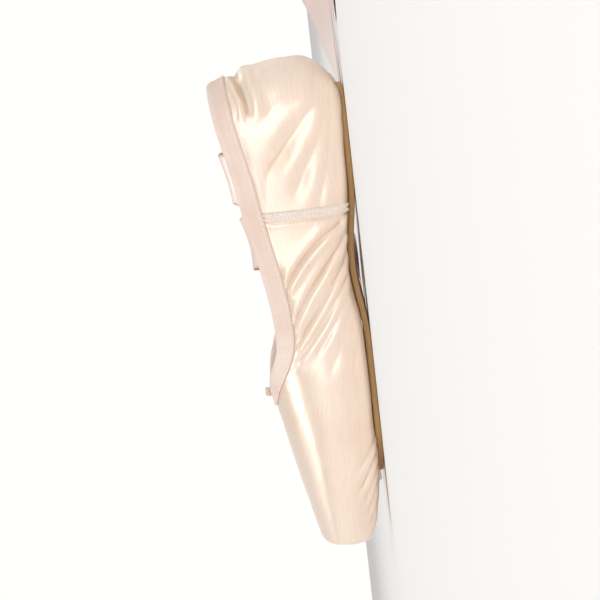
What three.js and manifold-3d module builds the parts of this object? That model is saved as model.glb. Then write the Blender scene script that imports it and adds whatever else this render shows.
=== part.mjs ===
// A pointe shoe standing empty on its sole, with its two ribbons laid out on the floor.
// Millimetres. +X runs to the toe, +Y to the shoe's left, +Z up. The origin is on the floor, under the
// middle of the shoe. Every form comes from the last: a table of sections, closed by the heel curve
// and the platform.
import * as THREE from "three";
import { mergeVertices } from "three/addons/utils/BufferGeometryUtils.js";
import Module from "manifold-3d";

const wasm = await Module();
wasm.setup();

// ---- driving dimensions -------------------------------------------------------------------------

const LENGTH = 230; // back of the heel to the platform
const BALL_WIDTH = 78; // across the box at its widest
const HEEL_WIDTH = 54;
const BACK_HEIGHT = 62; // collar at the back of the heel
const VAMP_LENGTH = 76; // platform to the front of the throat
const GAP = 0.3; // between pieces that touch

const HEEL = -LENGTH / 2;
const PLATFORM = LENGTH / 2;
const THROAT = PLATFORM - VAMP_LENGTH;
const HEEL_CENTRE = HEEL + 32; // the heel's round starts here
const HEEL_ROUND = 2.3; // 2 is a circle in plan, more is squarer
const PLATFORM_EDGE = 3.5; // radius of the rim round the platform
const UNDER_EDGE = 2.5; // radius of the rim round the flat underside

const QUARTER_WALL = 1.6; // satin, canvas and lining
const BOX_WALL = 3.2; // the same with the box's hardened layers
const BOX_BLEND = { from: THROAT - 10, length: 40 }; // where the wall grows from one to the other

const SOLE = {
  thickness: 3,
  heelEnd: HEEL + 14,
  toeEnd: HEEL + 199,
  heelCentre: HEEL + 31,
  toeCentre: HEEL + 166,
  bevel: 0.8,
  lasting: 7, // how far the upper is turned in over the sole's edge
  toeRound: 2.2, // 2 is an ellipse in plan, more is squarer
  tip: 0.15, // how far inside its two ends the slab starts
  steps: 46,
};
const ARCH = { from: HEEL + 58, to: HEEL + 132, rise: 3.5 };
const TOE_SPRING = { from: HEEL + 180, rise: 5.5 }; // rise is at the platform
const HEEL_SPRING = { from: HEEL + 20, rise: 0.8 }; // rise is at the sole's end
const INSOLE = { thickness: 1.8, clearance: 1.6, lift: 0.15, narrowest: 5, steps: 40 };
// slack: more room between the tape and the wall. thirds: places down the outer leg that follow it.
const BINDING = { thickness: 0.8, outerLeg: 8, innerLeg: 6, slack: 0.2, thirds: [0.67, 0.33] };
// down: how far below the collar's edge the cord lies. round: the knot's radii as shares of knot.
// columns: how many columns of the upper it may pass on each side.
const CORD = { radius: 0.9, knot: 2.3, round: [1, 1.25, 0.9], tail: 7.5, down: 1.6, columns: 6, steps: 12 };
const RIBBON = { width: 25, thickness: 0.6, steps: 76 };

const COLUMNS = 76; // round the shoe
const ROWS = 19; // from the sole up to the collar
const TURN_WEIGHT = 12; // mm of spacing that one radian of bend counts for: bends get more facets
const PROFILE_STEPS = 260; // places tried along one profile
const OUTLINE_STEPS = 240; // places tried along half the outline

const HALVINGS = 34; // of a search by halving
const FARTHEST = 150; // no point of the last is farther than this from its spine
const AT_EDGE = 0.01; // just below the collar's edge
const WELD = 1e-4; // vertices closer than this are one

// ---- the last -----------------------------------------------------------------------------------

// at: mm from the back of the heel. half: half width. widest: height of the widest level. ridge: top of
// the last, which is only a guide behind the throat. cut: how far the section would go on below the flat
// underside. low and high: how square the section is under and over its widest level.
const SECTIONS = [
  { at: 0, half: HEEL_WIDTH / 2 - 1, widest: 21, ridge: 92, cut: 7.5, low: 2.8, high: 2.8 },
  { at: 32, half: HEEL_WIDTH / 2, widest: 22, ridge: 88, cut: 7, low: 2.8, high: 2.8 },
  { at: 72, half: 28.5, widest: 23, ridge: 76, cut: 6, low: 2.8, high: 2.8 },
  { at: 100, half: 32.5, widest: 22, ridge: 62, cut: 6, low: 2.8, high: 2.8 },
  { at: 128, half: 37, widest: 20.5, ridge: 53.5, cut: 6.5, low: 2.9, high: 2.7 },
  { at: 154, half: BALL_WIDTH / 2, widest: 20, ridge: 48.5, cut: 7, low: 2.9, high: 2.5 },
  { at: 180, half: 36.2, widest: 19.5, ridge: 43.6, cut: 6.5, low: 2.9, high: 2.4 },
  { at: 205, half: 30, widest: 20, ridge: 38.4, cut: 4.5, low: 2.7, high: 2.4 },
  { at: 220, half: 24.8, widest: 20.6, ridge: 35, cut: 3, low: 2.5, high: 2.4 },
  { at: 230, half: 20.8, widest: 21, ridge: 32.6, cut: 2, low: 2.4, high: 2.4 },
];

// Height of the collar's edge, at mm from the back of the heel. It dips at the wings and crosses the
// ridge of the last at the front of the throat.
const TOPLINE = [
  { at: 0, height: BACK_HEIGHT + 0.6 },
  { at: 24, height: 59.5 },
  { at: 48, height: 54.6 },
  { at: 72, height: 50.4 },
  { at: 98, height: 45.2 },
  { at: 118, height: 42.5 },
  { at: 132, height: 43.2 },
  { at: 145, height: 47.4 },
  { at: 154, height: 48.5 },
  { at: 164, height: 49.2 },
];

// How far forward the back of the heel stands, at each height.
const HEEL_CURVE = [
  { height: 0, forward: 4.5 },
  { height: 9, forward: 1.4 },
  { height: 22, forward: 0 },
  { height: 38, forward: 1.1 },
  { height: 52, forward: 3.8 },
  { height: 66, forward: 7.4 },
  { height: 92, forward: 14 },
];

// Half width of the outsole before its two ends are rounded off.
const SOLE_WIDTHS = [
  { at: 14, half: 18.8 },
  { at: 32, half: 19 },
  { at: 54, half: 17.2 },
  { at: 80, half: 15.4 },
  { at: 105, half: 18.6 },
  { at: 130, half: 24 },
  { at: 156, half: 27.4 },
  { at: 180, half: 26.4 },
  { at: 199, half: 24 },
];

// A natural cubic spline through one column of a table, with straight ends.
function spline(rows, key, value) {
  const x = rows.map((r) => r[key]);
  const y = rows.map((r) => r[value]);
  const n = x.length;
  const bend = new Array(n).fill(0);
  const part = new Array(n).fill(0);
  for (let i = 1; i < n - 1; i++) {
    const share = (x[i] - x[i - 1]) / (x[i + 1] - x[i - 1]);
    const pivot = share * bend[i - 1] + 2;
    const rise = (y[i + 1] - y[i]) / (x[i + 1] - x[i]) - (y[i] - y[i - 1]) / (x[i] - x[i - 1]);
    bend[i] = (share - 1) / pivot;
    part[i] = ((6 * rise) / (x[i + 1] - x[i - 1]) - share * part[i - 1]) / pivot;
  }
  for (let i = n - 2; i > 0; i--) bend[i] = bend[i] * bend[i + 1] + part[i];
  return (at) => {
    const t = Math.min(Math.max(at, x[0]), x[n - 1]);
    let i = 0;
    while (i < n - 2 && t > x[i + 1]) i++;
    const step = x[i + 1] - x[i];
    const a = (x[i + 1] - t) / step;
    const b = 1 - a;
    const curve = (a ** 3 - a) * bend[i] + (b ** 3 - b) * bend[i + 1];
    return a * y[i] + b * y[i + 1] + (curve * step ** 2) / 6;
  };
}

const COLUMNS_OF_SECTIONS = ["half", "widest", "ridge", "cut", "low", "high"];
const section = Object.fromEntries(
  COLUMNS_OF_SECTIONS.map((column) => [column, spline(SECTIONS, "at", column)]),
);
const toplineAt = spline(TOPLINE, "at", "height");
const heelForward = spline(HEEL_CURVE, "height", "forward");
const soleWidth = spline(SOLE_WIDTHS, "at", "half");
const smoothstep = (t) => THREE.MathUtils.smoothstep(t, 0, 1);

// Height of the outsole's underside: flat at the heel and the forefoot, with an arch and a toe spring.
function soleRise(x) {
  const inArch = (x - ARCH.from) / (ARCH.to - ARCH.from);
  if (inArch > 0 && inArch < 1) return ARCH.rise * Math.sin(Math.PI * inArch) ** 2;
  if (x > TOE_SPRING.from) {
    return TOE_SPRING.rise * ((x - TOE_SPRING.from) / (PLATFORM - TOE_SPRING.from)) ** 2;
  }
  if (x < HEEL_SPRING.from) {
    return HEEL_SPRING.rise * ((HEEL_SPRING.from - x) / (HEEL_SPRING.from - SOLE.heelEnd)) ** 2;
  }
  return 0;
}

// Height of the upper's underside along the middle.
const underside = (x) => SOLE.thickness + GAP + soleRise(x);

function wallAt(x) {
  const share = smoothstep((x - BOX_BLEND.from) / BOX_BLEND.length);
  return QUARTER_WALL + (BOX_WALL - QUARTER_WALL) * share;
}

// The smaller of two depths, rounded to a radius where they meet.
const roundedMin = (a, b, r) => (a < r && b < r ? r - Math.hypot(r - a, r - b) : Math.min(a, b));

// Depth of a point inside the last, in mm near its surface: 0 on the surface and negative outside.
function depth(x, y, z) {
  const at = x - HEEL;
  const half = section.half(at);
  const widest = section.widest(at);
  const above = z > widest;
  const floor = underside(x);
  const reach = above ? section.ridge(at) - widest : widest - floor + section.cut(at);
  const power = above ? section.high(at) : section.low(at);
  const across = (Math.abs(y) / half) ** power + (Math.abs(z - widest) / reach) ** power;
  const heelBack = HEEL + heelForward(z);
  const back = Math.max(0, (HEEL_CENTRE - x) / (HEEL_CENTRE - heelBack));
  const radius = (across ** (HEEL_ROUND / power) + back ** HEEL_ROUND) ** (1 / HEEL_ROUND);
  const inSection = (1 - radius) * Math.min(half, reach);
  return roundedMin(roundedMin(inSection, z - floor, UNDER_EDGE), PLATFORM - x, PLATFORM_EDGE);
}

// The last's outward direction at a point of its surface.
function outward(p) {
  const e = 0.05;
  return new THREE.Vector3(
    depth(p.x - e, p.y, p.z) - depth(p.x + e, p.y, p.z),
    depth(p.x, p.y - e, p.z) - depth(p.x, p.y + e, p.z),
    depth(p.x, p.y, p.z - e) - depth(p.x, p.y, p.z + e),
  ).normalize();
}

// The distance at which test(distance) turns false, between 0 and most.
function reachOf(test, most) {
  let low = 0;
  let high = most;
  for (let i = 0; i < HALVINGS; i++) {
    const middle = (low + high) / 2;
    if (test(middle)) low = middle;
    else high = middle;
  }
  return low;
}

// Half width of the outsole at x, with an even margin taken off all round.
function soleHalf(x, margin = 0) {
  const heelEnd = SOLE.heelEnd + margin;
  const toeEnd = SOLE.toeEnd - margin;
  if (x <= heelEnd || x >= toeEnd) return 0;
  const towardHeel = Math.max(0, (SOLE.heelCentre - x) / (SOLE.heelCentre - heelEnd));
  const towardToe = Math.max(0, (x - SOLE.toeCentre) / (toeEnd - SOLE.toeCentre));
  const heelRound = Math.sqrt(1 - towardHeel ** 2);
  const toeRound = (1 - towardToe ** SOLE.toeRound) ** (1 / SOLE.toeRound);
  return (soleWidth(x - HEEL) - margin) * heelRound * toeRound;
}

// ---- the upper's grid ---------------------------------------------------------------------------

// The upper is measured in upright half planes that start on a spine: they fan round the throat's centre,
// run side by side along the quarters, and fan round the heel's centre. Turn is 0 at the toe and 1 at the
// back of the heel.
const SPINE = { toe: THROAT - 29, heel: HEEL + 36, height: 24 };
const FAN = { toe: 0.42, heel: 0.72 }; // the turn at which each fan ends or starts

function planeAt(turn) {
  const side = turn < 0 ? -1 : 1;
  const t = Math.abs(turn);
  let x = SPINE.toe;
  let angle = (Math.PI / 2) * (t / FAN.toe);
  if (t > FAN.toe) {
    angle = Math.PI / 2;
    x = THREE.MathUtils.mapLinear(Math.min(t, FAN.heel), FAN.toe, FAN.heel, SPINE.toe, SPINE.heel);
  }
  if (t > FAN.heel) angle = (Math.PI / 2) * (1 + (t - FAN.heel) / (1 - FAN.heel));
  return { x, out: new THREE.Vector2(Math.cos(angle), Math.sin(angle) * side) };
}

function inPlane(plane, rho, z) {
  return new THREE.Vector3(plane.x + plane.out.x * rho, plane.out.y * rho, z);
}

// The point of the last's surface in a plane, at an angle from straight down (0) to straight up (pi).
function surfaceAt(plane, angle) {
  const across = Math.sin(angle);
  const up = -Math.cos(angle);
  const hit = reachOf((d) => {
    const p = inPlane(plane, across * d, SPINE.height + up * d);
    return depth(p.x, p.y, p.z) > 0;
  }, FARTHEST);
  return inPlane(plane, across * hit, SPINE.height + up * hit);
}

// Points at even steps of length plus bend along a line of points.
function evenly(points, count) {
  const cost = [0];
  for (let i = 1; i < points.length; i++) {
    const step = points[i].distanceTo(points[i - 1]);
    const heading = points[i].clone().sub(points[i - 1]);
    const before = i > 1 ? points[i - 1].clone().sub(points[i - 2]) : heading;
    const bend = heading.angleTo(before);
    cost.push(cost[i - 1] + step + TURN_WEIGHT * bend);
  }
  const picked = [];
  let i = 1;
  for (let k = 0; k < count; k++) {
    const want = (cost.at(-1) * k) / (count - 1);
    while (i < points.length - 1 && cost[i] < want) i++;
    const share = (want - cost[i - 1]) / (cost[i] - cost[i - 1]);
    picked.push(points[i - 1].clone().lerp(points[i], share));
  }
  return picked;
}

// One upright profile of the upper, from the turned-in edge under the sole up to the collar.
function profileAt(turn) {
  const plane = planeAt(turn);
  const line = [];
  for (let i = 1; i < PROFILE_STEPS; i++) {
    line.push(surfaceAt(plane, (Math.PI * i) / PROFILE_STEPS));
  }
  const edge = reachOf((rho) => {
    const p = inPlane(plane, rho, 0);
    return Math.abs(p.y) < soleHalf(p.x, SOLE.lasting);
  }, FARTHEST);
  const rhoOf = (p) => Math.hypot(p.x - plane.x, p.y);
  const overTop = (p) => p.z - toplineAt(p.x - HEEL);
  const first = line.findIndex((p) => rhoOf(p) > edge);
  const start = line[first - 1].clone();
  start.lerp(line[first], (edge - rhoOf(start)) / (rhoOf(line[first]) - rhoOf(start)));
  let last = line.length - 1;
  while (overTop(line[last]) > 0) last--;
  const end = line[last].clone();
  end.lerp(line[last + 1], overTop(end) / (overTop(end) - overTop(line[last + 1])));
  return [start, ...line.slice(first, last + 1), end];
}

// Turns of the columns, spaced evenly round the widest level: right side negative, left side positive.
function columnTurns() {
  const outline = [];
  for (let i = 0; i <= OUTLINE_STEPS; i++) {
    outline.push(surfaceAt(planeAt(i / OUTLINE_STEPS), Math.PI / 2));
  }
  const half = evenly(outline, COLUMNS / 2 + 1).map((place) => {
    const away = outline.map((p) => p.distanceTo(place));
    return away.indexOf(Math.min(...away)) / OUTLINE_STEPS;
  });
  return [...half, ...half.slice(1, -1).reverse().map((t) => -t)];
}

const profiles = columnTurns().map(profileAt);

// ---- meshes -------------------------------------------------------------------------------------

// A closed surface from rings of points: ring i joins ring i + 1, and each ring is closed on itself. The
// rings either close into a loop, or are capped at both ends. A ring goes along one side of a wall and
// back along the other, so its second half is cut along the other diagonal, and both sides of the wall
// get the same facets.
function fromRings(rings, looped) {
  const count = rings[0].length;
  const vertices = rings.flat();
  const faces = [];
  const total = looped ? rings.length : rings.length - 1;
  for (let i = 0; i < total; i++) {
    for (let j = 0; j < count; j++) {
      const a = i * count + j;
      const b = i * count + ((j + 1) % count);
      const c = ((i + 1) % rings.length) * count + ((j + 1) % count);
      const d = ((i + 1) % rings.length) * count + j;
      if (j < count / 2) faces.push([a, b, c], [a, c, d]);
      else faces.push([a, b, d], [b, c, d]);
    }
  }
  if (!looped) {
    const lastRing = (rings.length - 1) * count;
    for (let j = 1; j < count - 1; j++) {
      faces.push([0, j + 1, j], [lastRing, lastRing + j, lastRing + j + 1]);
    }
  }
  return facingOut(vertices, faces);
}

// A geometry of these faces, turned round if its volume comes out negative.
function facingOut(vertices, faces) {
  const volume = faces.reduce(
    (sum, [a, b, c]) => sum + vertices[a].dot(vertices[b].clone().cross(vertices[c])),
    0,
  );
  const ordered = volume < 0 ? faces.map(([a, b, c]) => [a, c, b]) : faces;
  const numbers = vertices.flatMap((v) => v.toArray());
  const geometry = new THREE.BufferGeometry();
  geometry.setAttribute("position", new THREE.Float32BufferAttribute(numbers, 3));
  geometry.setIndex(ordered.flat());
  geometry.computeVertexNormals();
  return geometry;
}

function solidOf(geometry) {
  const bare = geometry.clone();
  bare.deleteAttribute("normal");
  bare.deleteAttribute("uv");
  const merged = mergeVertices(bare, WELD);
  return new wasm.Manifold(
    new wasm.Mesh({
      numProp: 3,
      vertProperties: merged.attributes.position.array,
      triVerts: new Uint32Array(merged.index.array),
    }),
  );
}

function geometryOf(solid) {
  const mesh = solid.getMesh();
  const geometry = new THREE.BufferGeometry();
  geometry.setAttribute("position", new THREE.BufferAttribute(mesh.vertProperties, 3));
  geometry.setIndex(new THREE.BufferAttribute(mesh.triVerts, 1));
  geometry.computeVertexNormals();
  return geometry;
}

// The upper: one wall, open at the collar and throat, and open underneath inside the turned-in edge.
function upperGeometry() {
  return fromRings(
    profiles.map((profile) => {
      const outer = evenly(profile, ROWS);
      const inner = outer.map((p) => p.clone().addScaledVector(outward(p), -wallAt(p.x)));
      return [...outer, ...inner.reverse()];
    }),
    true,
  );
}

// The point and outward direction at a distance down the profile from the collar's edge.
function belowCollar(profile, distance) {
  let left = distance;
  for (let i = profile.length - 1; i > 0; i--) {
    const step = profile[i].distanceTo(profile[i - 1]);
    if (step >= left) {
      const point = profile[i].clone().lerp(profile[i - 1], left / step);
      return { point, normal: outward(point) };
    }
    left -= step;
  }
  throw new Error("the profile is shorter than the binding");
}

// The binding: a tape folded over the collar's edge, with a leg down each side of the wall.
function bindingGeometry() {
  const near = GAP;
  const far = GAP + BINDING.thickness;
  const { outerLeg, innerLeg } = BINDING;
  const [lower, upper] = BINDING.thirds.map((share) => share * outerLeg);
  return fromRings(
    profiles.map((profile) => {
      const up = belowCollar(profile, AT_EDGE).point.sub(belowCollar(profile, 1).point).normalize();
      const place = (down, offsetAt, lift) => {
        const { point, normal } = belowCollar(profile, Math.max(down, AT_EDGE));
        return point.clone().addScaledVector(normal, offsetAt(point)).addScaledVector(up, lift);
      };
      const outside = (down, off, lift = 0) => place(down, () => BINDING.slack + off, lift);
      const inside = (down, off, lift = 0) => {
        return place(down, (point) => -wallAt(point.x) - BINDING.slack - off, lift);
      };
      return [
        outside(outerLeg, near),
        outside(outerLeg, far),
        outside(lower, far),
        outside(upper, far),
        outside(0, far, near),
        outside(0, near, far),
        inside(0, near, far),
        inside(0, far, near),
        inside(innerLeg / 2, far),
        inside(innerLeg, far),
        inside(innerLeg, near),
        inside(innerLeg / 2, near),
        inside(0, near, near),
        outside(0, near, near),
        outside(upper, near),
        outside(lower, near),
      ];
    }),
    true,
  );
}

// Places along a strip, closer together at its two rounded ends.
function rounded(from, to, steps) {
  return Array.from({ length: steps + 1 }, (_, i) => {
    return THREE.MathUtils.lerp(from, to, (1 - Math.cos((Math.PI * i) / steps)) / 2);
  });
}

// The outsole: a leather slab with the sole's outline, its edges bevelled, following the arch and springs.
function outsoleGeometry() {
  const { heelEnd, toeEnd, thickness, bevel, tip, steps } = SOLE;
  return fromRings(
    rounded(heelEnd + tip, toeEnd - tip, steps).map((x) => {
      const half = soleHalf(x);
      const cut = Math.min(bevel, half / 3);
      const low = soleRise(x);
      const high = low + thickness;
      return [
        [-half + cut, low],
        [half - cut, low],
        [half, low + cut],
        [half, high - cut],
        [half - cut, high],
        [-half + cut, high],
        [-half, high - cut],
        [-half, low + cut],
      ].map(([y, z]) => new THREE.Vector3(x, y, z));
    }),
    false,
  );
}

// Directions spread evenly over a ball.
const BALL_POINTS = 120;
const GOLDEN_ANGLE = Math.PI * (3 - Math.sqrt(5));
const BALL = Array.from({ length: BALL_POINTS }, (_, i) => {
  const polar = Math.acos(1 - (2 * i + 1) / BALL_POINTS);
  return new THREE.Vector3().setFromSphericalCoords(1, polar, i * GOLDEN_ANGLE);
});

// Whether a ball fits inside the last.
function ballFits(x, y, z, r) {
  return BALL.every((v) => depth(x + r * v.x, y + r * v.y, z + r * v.z) > 0);
}

// The insole's lower face and half width at x: as low and as wide as clears the wall.
function insoleAt(x) {
  const clear = wallAt(x) + GAP;
  const level = SPINE.height;
  const low = level - reachOf((drop) => ballFits(x, 0, level - drop, clear), level);
  const widest = reachOf((y) => ballFits(x, y, low + INSOLE.lift / 2, clear), BALL_WIDTH);
  return { low: low + INSOLE.lift, half: widest - INSOLE.clearance };
}

// The insole: a thin sock board lying on the turned-in edge of the upper.
function insoleGeometry() {
  const wideEnough = (x) => insoleAt(x).half > INSOLE.narrowest;
  const back = reachOf((d) => wideEnough(-d), -HEEL);
  const front = reachOf((d) => wideEnough(d), PLATFORM);
  return fromRings(
    rounded(-back, front, INSOLE.steps).map((x) => {
      const { low, half } = insoleAt(x);
      const high = low + INSOLE.thickness;
      return [
        [-half, low],
        [half, low],
        [half, high],
        [-half, high],
      ].map(([y, z]) => new THREE.Vector3(x, y, z));
    }),
    false,
  );
}

// The line on which a cord of this radius lies along the binding, round the front of the throat.
function alongThroat(radius) {
  const off = BINDING.slack + GAP + BINDING.thickness + GAP + radius;
  const front = [...profiles.slice(-CORD.columns), ...profiles.slice(0, CORD.columns + 1)];
  const places = front.map((profile) => {
    const { point, normal } = belowCollar(profile, CORD.down);
    return point.addScaledVector(normal, off);
  });
  return new THREE.CatmullRomCurve3(places);
}

// The drawstring's knot on the binding at the front of the throat, with a short tail to each side.
function knotGeometry() {
  const [, , height] = CORD.round;
  const centre = alongThroat(height * CORD.knot).getPointAt(0.5);
  const knot = new THREE.SphereGeometry(CORD.knot, 12, 8);
  knot.scale(...CORD.round);
  knot.translate(...centre);
  const line = alongThroat(CORD.radius);
  const reach = CORD.tail / line.getLength();
  const shares = [-1, -0.67, -0.33, 0, 0.33, 0.67, 1];
  const route = new THREE.CatmullRomCurve3(shares.map((share) => line.getPointAt(0.5 + share * reach)));
  const round = new THREE.Shape().absarc(0, 0, CORD.radius, 0, Math.PI * 2);
  const extrusion = { steps: CORD.steps, curveSegments: 4, extrudePath: route };
  const cord = new THREE.ExtrudeGeometry(round, extrusion);
  return geometryOf(solidOf(knot).add(solidOf(cord)));
}

// ---- ribbons ------------------------------------------------------------------------------------

// Each ribbon's route, from where it is sewn inside the quarter, over the binding, down the outside and
// along the floor. across is the direction of the ribbon's width there.
const LEFT_ROUTE = [
  { x: -57, y: 22.2, z: 27, across: [1, 0.06, 0] },
  { x: -57, y: 22.2, z: 37, across: [1, 0.06, 0] },
  { x: -56.5, y: 21.5, z: 44, across: [1, 0.06, 0] },
  { x: -55.2, y: 18.6, z: 47.7, across: [1, 0.08, 0] },
  { x: -52, y: 12.4, z: 46.9, across: [1, 0.2, 0] },
  { x: -44, y: 0.5, z: 44.4, across: [1, 0.3, -0.02] },
  { x: -35, y: -12, z: 46.2, across: [1, 0.25, -0.1] },
  { x: -28.6, y: -21, z: 50, across: [1, 0.1, -0.17] },
  { x: -25.4, y: -27.8, z: 52.3, across: [1, 0.02, -0.19] },
  { x: -23.6, y: -33.7, z: 46, across: [1, -0.06, -0.2] },
  { x: -22, y: -35.4, z: 36.5, across: [1, -0.08, -0.18] },
  { x: -19.8, y: -37.2, z: 24, across: [1, -0.1, -0.15] },
  { x: -16.6, y: -42, z: 10, across: [1, 0.25, -0.12] },
  { x: -11, y: -51, z: 2.6, across: [1, 0.6, -0.03] },
  { x: -2, y: -62.5, z: 1.3, across: [1, 0.9, 0] },
  { x: 13, y: -74, z: 1.3, across: [0.7, 1.2, 0] },
  { x: 35, y: -80, z: 2.4, across: [0, 1.3, 0.12] },
  { x: 57, y: -76.5, z: 3.4, across: [-0.25, 1.3, 0.24] },
  { x: 79, y: -71.5, z: 2.6, across: [-0.1, 1.3, 0.15] },
  { x: 101, y: -74.5, z: 5.6, across: [0.35, 1.2, 0.5] },
  { x: 118, y: -88, z: 10.2, across: [0.8, 0.6, 1.1] },
  { x: 122, y: -109, z: 12.2, across: [0.6, -0.15, 1.4] },
  { x: 110, y: -128, z: 11, across: [0.5, -0.7, 1.2] },
  { x: 88, y: -138, z: 6.4, across: [0.25, -1.2, 0.6] },
  { x: 64, y: -138, z: 2, across: [-0.05, -1.3, 0.08] },
  { x: 40, y: -132, z: 1.2, across: [-0.3, -1.3, 0] },
];

const RIGHT_ROUTE = [
  { x: -57, y: -22.2, z: 27, across: [1, -0.06, 0] },
  { x: -57, y: -22.3, z: 40, across: [1, -0.06, 0] },
  { x: -57.1, y: -21.7, z: 50, across: [1, -0.06, -0.08] },
  { x: -57.5, y: -21.7, z: 55.4, across: [1, -0.06, -0.17] },
  { x: -58, y: -26, z: 59.4, across: [1, 0, -0.2] },
  { x: -58.6, y: -30.4, z: 55.4, across: [1, -0.05, -0.19] },
  { x: -59.4, y: -31.7, z: 49, across: [1, -0.06, -0.19] },
  { x: -61.4, y: -32, z: 38, across: [1, -0.06, -0.2] },
  { x: -64, y: -34, z: 23, across: [1, -0.05, -0.2] },
  { x: -67.5, y: -39.5, z: 9, across: [1, -0.15, -0.15] },
  { x: -73, y: -51, z: 2, across: [1, -0.3, -0.02] },
  { x: -82, y: -75, z: 1.2, across: [1, -0.45, 0] },
  { x: -98, y: -97, z: 1.6, across: [0.9, -0.9, 0.05] },
  { x: -121, y: -109, z: 5.4, across: [0.3, -1.2, 0.5] },
  { x: -144, y: -105, z: 10.4, across: [-0.4, -0.8, 1.1] },
  { x: -159, y: -87, z: 11.7, across: [-0.65, -0.35, 1.3] },
  { x: -162, y: -63, z: 10.4, across: [-0.9, 0.1, 1.1] },
  { x: -156, y: -40, z: 5.8, across: [-1.2, 0.35, 0.5] },
  { x: -147, y: -17, z: 2, across: [-1.2, 0.4, 0.1] },
  { x: -142, y: 7, z: 1.3, across: [-1.2, 0.1, 0] },
  { x: -146, y: 31, z: 1.4, across: [-1.2, -0.4, 0] },
  { x: -160, y: 51, z: 1.8, across: [-1, -0.9, 0.04] },
  { x: -181, y: 62, z: 1.3, across: [-0.5, -1.2, 0] },
];

// A flat ribbon along its route: a thin rectangle turned to face across the route at each step.
function ribbonGeometry(route) {
  const curve = new THREE.CatmullRomCurve3(route.map((r) => new THREE.Vector3(r.x, r.y, r.z)));
  const widths = new THREE.CatmullRomCurve3(
    route.map((r) => new THREE.Vector3(...r.across).normalize()),
  );
  const half = new THREE.Vector2(RIBBON.width, RIBBON.thickness).divideScalar(2);
  const rings = [];
  for (let i = 0; i <= RIBBON.steps; i++) {
    const t = curve.getUtoTmapping(i / RIBBON.steps);
    const centre = curve.getPoint(t);
    const along = curve.getTangent(t);
    const across = widths.getPoint(t).projectOnPlane(along).normalize();
    const face = along.clone().cross(across);
    rings.push(
      [
        [-half.x, -half.y],
        [half.x, -half.y],
        [half.x, half.y],
        [-half.x, half.y],
      ].map(([w, h]) => centre.clone().addScaledVector(across, w).addScaledVector(face, h)),
    );
  }
  return fromRings(rings, false);
}

// ---- the shoe -----------------------------------------------------------------------------------

function material(color, roughness) {
  return new THREE.MeshStandardMaterial({ color, roughness, metalness: 0 });
}

function piece(name, geometry, finish) {
  const mesh = new THREE.Mesh(geometry, finish);
  mesh.name = name;
  return mesh;
}

const satin = material(0xecd9c8, 0.38);
const tape = material(0xedd9cc, 0.7);
const ribbonSatin = material(0xefdbd0, 0.4);
const leather = material(0xcfae7d, 0.6);
const canvas = material(0xe8dac8, 0.85);

const shoe = new THREE.Group();
shoe.add(
  piece("upper", upperGeometry(), satin),
  piece("outsole", outsoleGeometry(), leather),
  piece("insole", insoleGeometry(), canvas),
  piece("collar_binding", bindingGeometry(), tape),
  piece("drawstring_knot", knotGeometry(), tape),
  piece("ribbon_left", ribbonGeometry(LEFT_ROUTE), ribbonSatin),
  piece("ribbon_right", ribbonGeometry(RIGHT_ROUTE), ribbonSatin),
);

export default shoe;
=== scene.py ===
"""A pointe shoe that stands empty on its sole, with its two ribbons laid out on the floor.

Sizes are millimetres in the shoe's own frame: +X runs to the toe, +Y to the shoe's left and
+Z up, and "at" is the distance from the back of the heel. Blender gets metres.
"""

from __future__ import annotations

import logging
import math
from dataclasses import dataclass, field
from enum import Enum
from typing import Callable, Optional, Sequence

import bpy
import numpy as np
from mathutils import Matrix, Vector


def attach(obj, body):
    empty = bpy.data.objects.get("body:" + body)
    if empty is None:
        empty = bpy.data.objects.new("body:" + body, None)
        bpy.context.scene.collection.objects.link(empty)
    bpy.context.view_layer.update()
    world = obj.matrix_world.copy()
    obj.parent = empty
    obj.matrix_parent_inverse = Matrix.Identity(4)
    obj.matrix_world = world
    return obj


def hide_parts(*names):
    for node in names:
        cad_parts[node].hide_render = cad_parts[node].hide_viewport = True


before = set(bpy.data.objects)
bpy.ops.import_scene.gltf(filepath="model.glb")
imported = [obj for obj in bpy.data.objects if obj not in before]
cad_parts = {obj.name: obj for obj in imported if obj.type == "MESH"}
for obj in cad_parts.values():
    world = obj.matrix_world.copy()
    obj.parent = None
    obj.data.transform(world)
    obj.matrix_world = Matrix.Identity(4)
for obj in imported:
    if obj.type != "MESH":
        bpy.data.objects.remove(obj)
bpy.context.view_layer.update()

LOG = logging.getLogger("pointe_shoe")
MM = 0.001
BODY = "root"

HEEL = -115.0
PLATFORM = 115.0
THROAT = 39.0
SIDE_SEAM = HEEL + 72.0

# at, half width, height of the widest level, top of the last, cut below, squareness low, high
SECTIONS = np.array([
    [0, 26, 21, 92, 7.5, 2.8, 2.8],
    [32, 27, 22, 88, 7, 2.8, 2.8],
    [72, 28.5, 23, 76, 6, 2.8, 2.8],
    [100, 32.5, 22, 62, 6, 2.8, 2.8],
    [128, 37, 20.5, 53.5, 6.5, 2.9, 2.7],
    [154, 39, 20, 48.5, 7, 2.9, 2.5],
    [180, 36.2, 19.5, 43.6, 6.5, 2.9, 2.4],
    [205, 30, 20, 38.4, 4.5, 2.7, 2.4],
    [220, 24.8, 20.6, 35, 3, 2.5, 2.4],
    [230, 20.8, 21, 32.6, 2, 2.4, 2.4],
])
# at, height of the collar's edge
TOPLINE = np.array([
    [0, 62.6], [24, 59.5], [48, 54.6], [72, 50.4], [98, 45.2],
    [118, 42.5], [132, 43.2], [145, 47.4], [154, 48.5], [164, 49.2],
])
# height, how far forward the back of the heel stands
HEEL_CURVE = np.array([
    [0, 4.5], [9, 1.4], [22, 0], [38, 1.1], [52, 3.8], [66, 7.4], [92, 14],
])
# at, half width of the outsole before its ends are rounded off
SOLE_WIDTHS = np.array([
    [14, 18.8], [32, 19], [54, 17.2], [80, 15.4], [105, 18.6],
    [130, 24], [156, 27.4], [180, 26.4], [199, 24],
])


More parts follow.
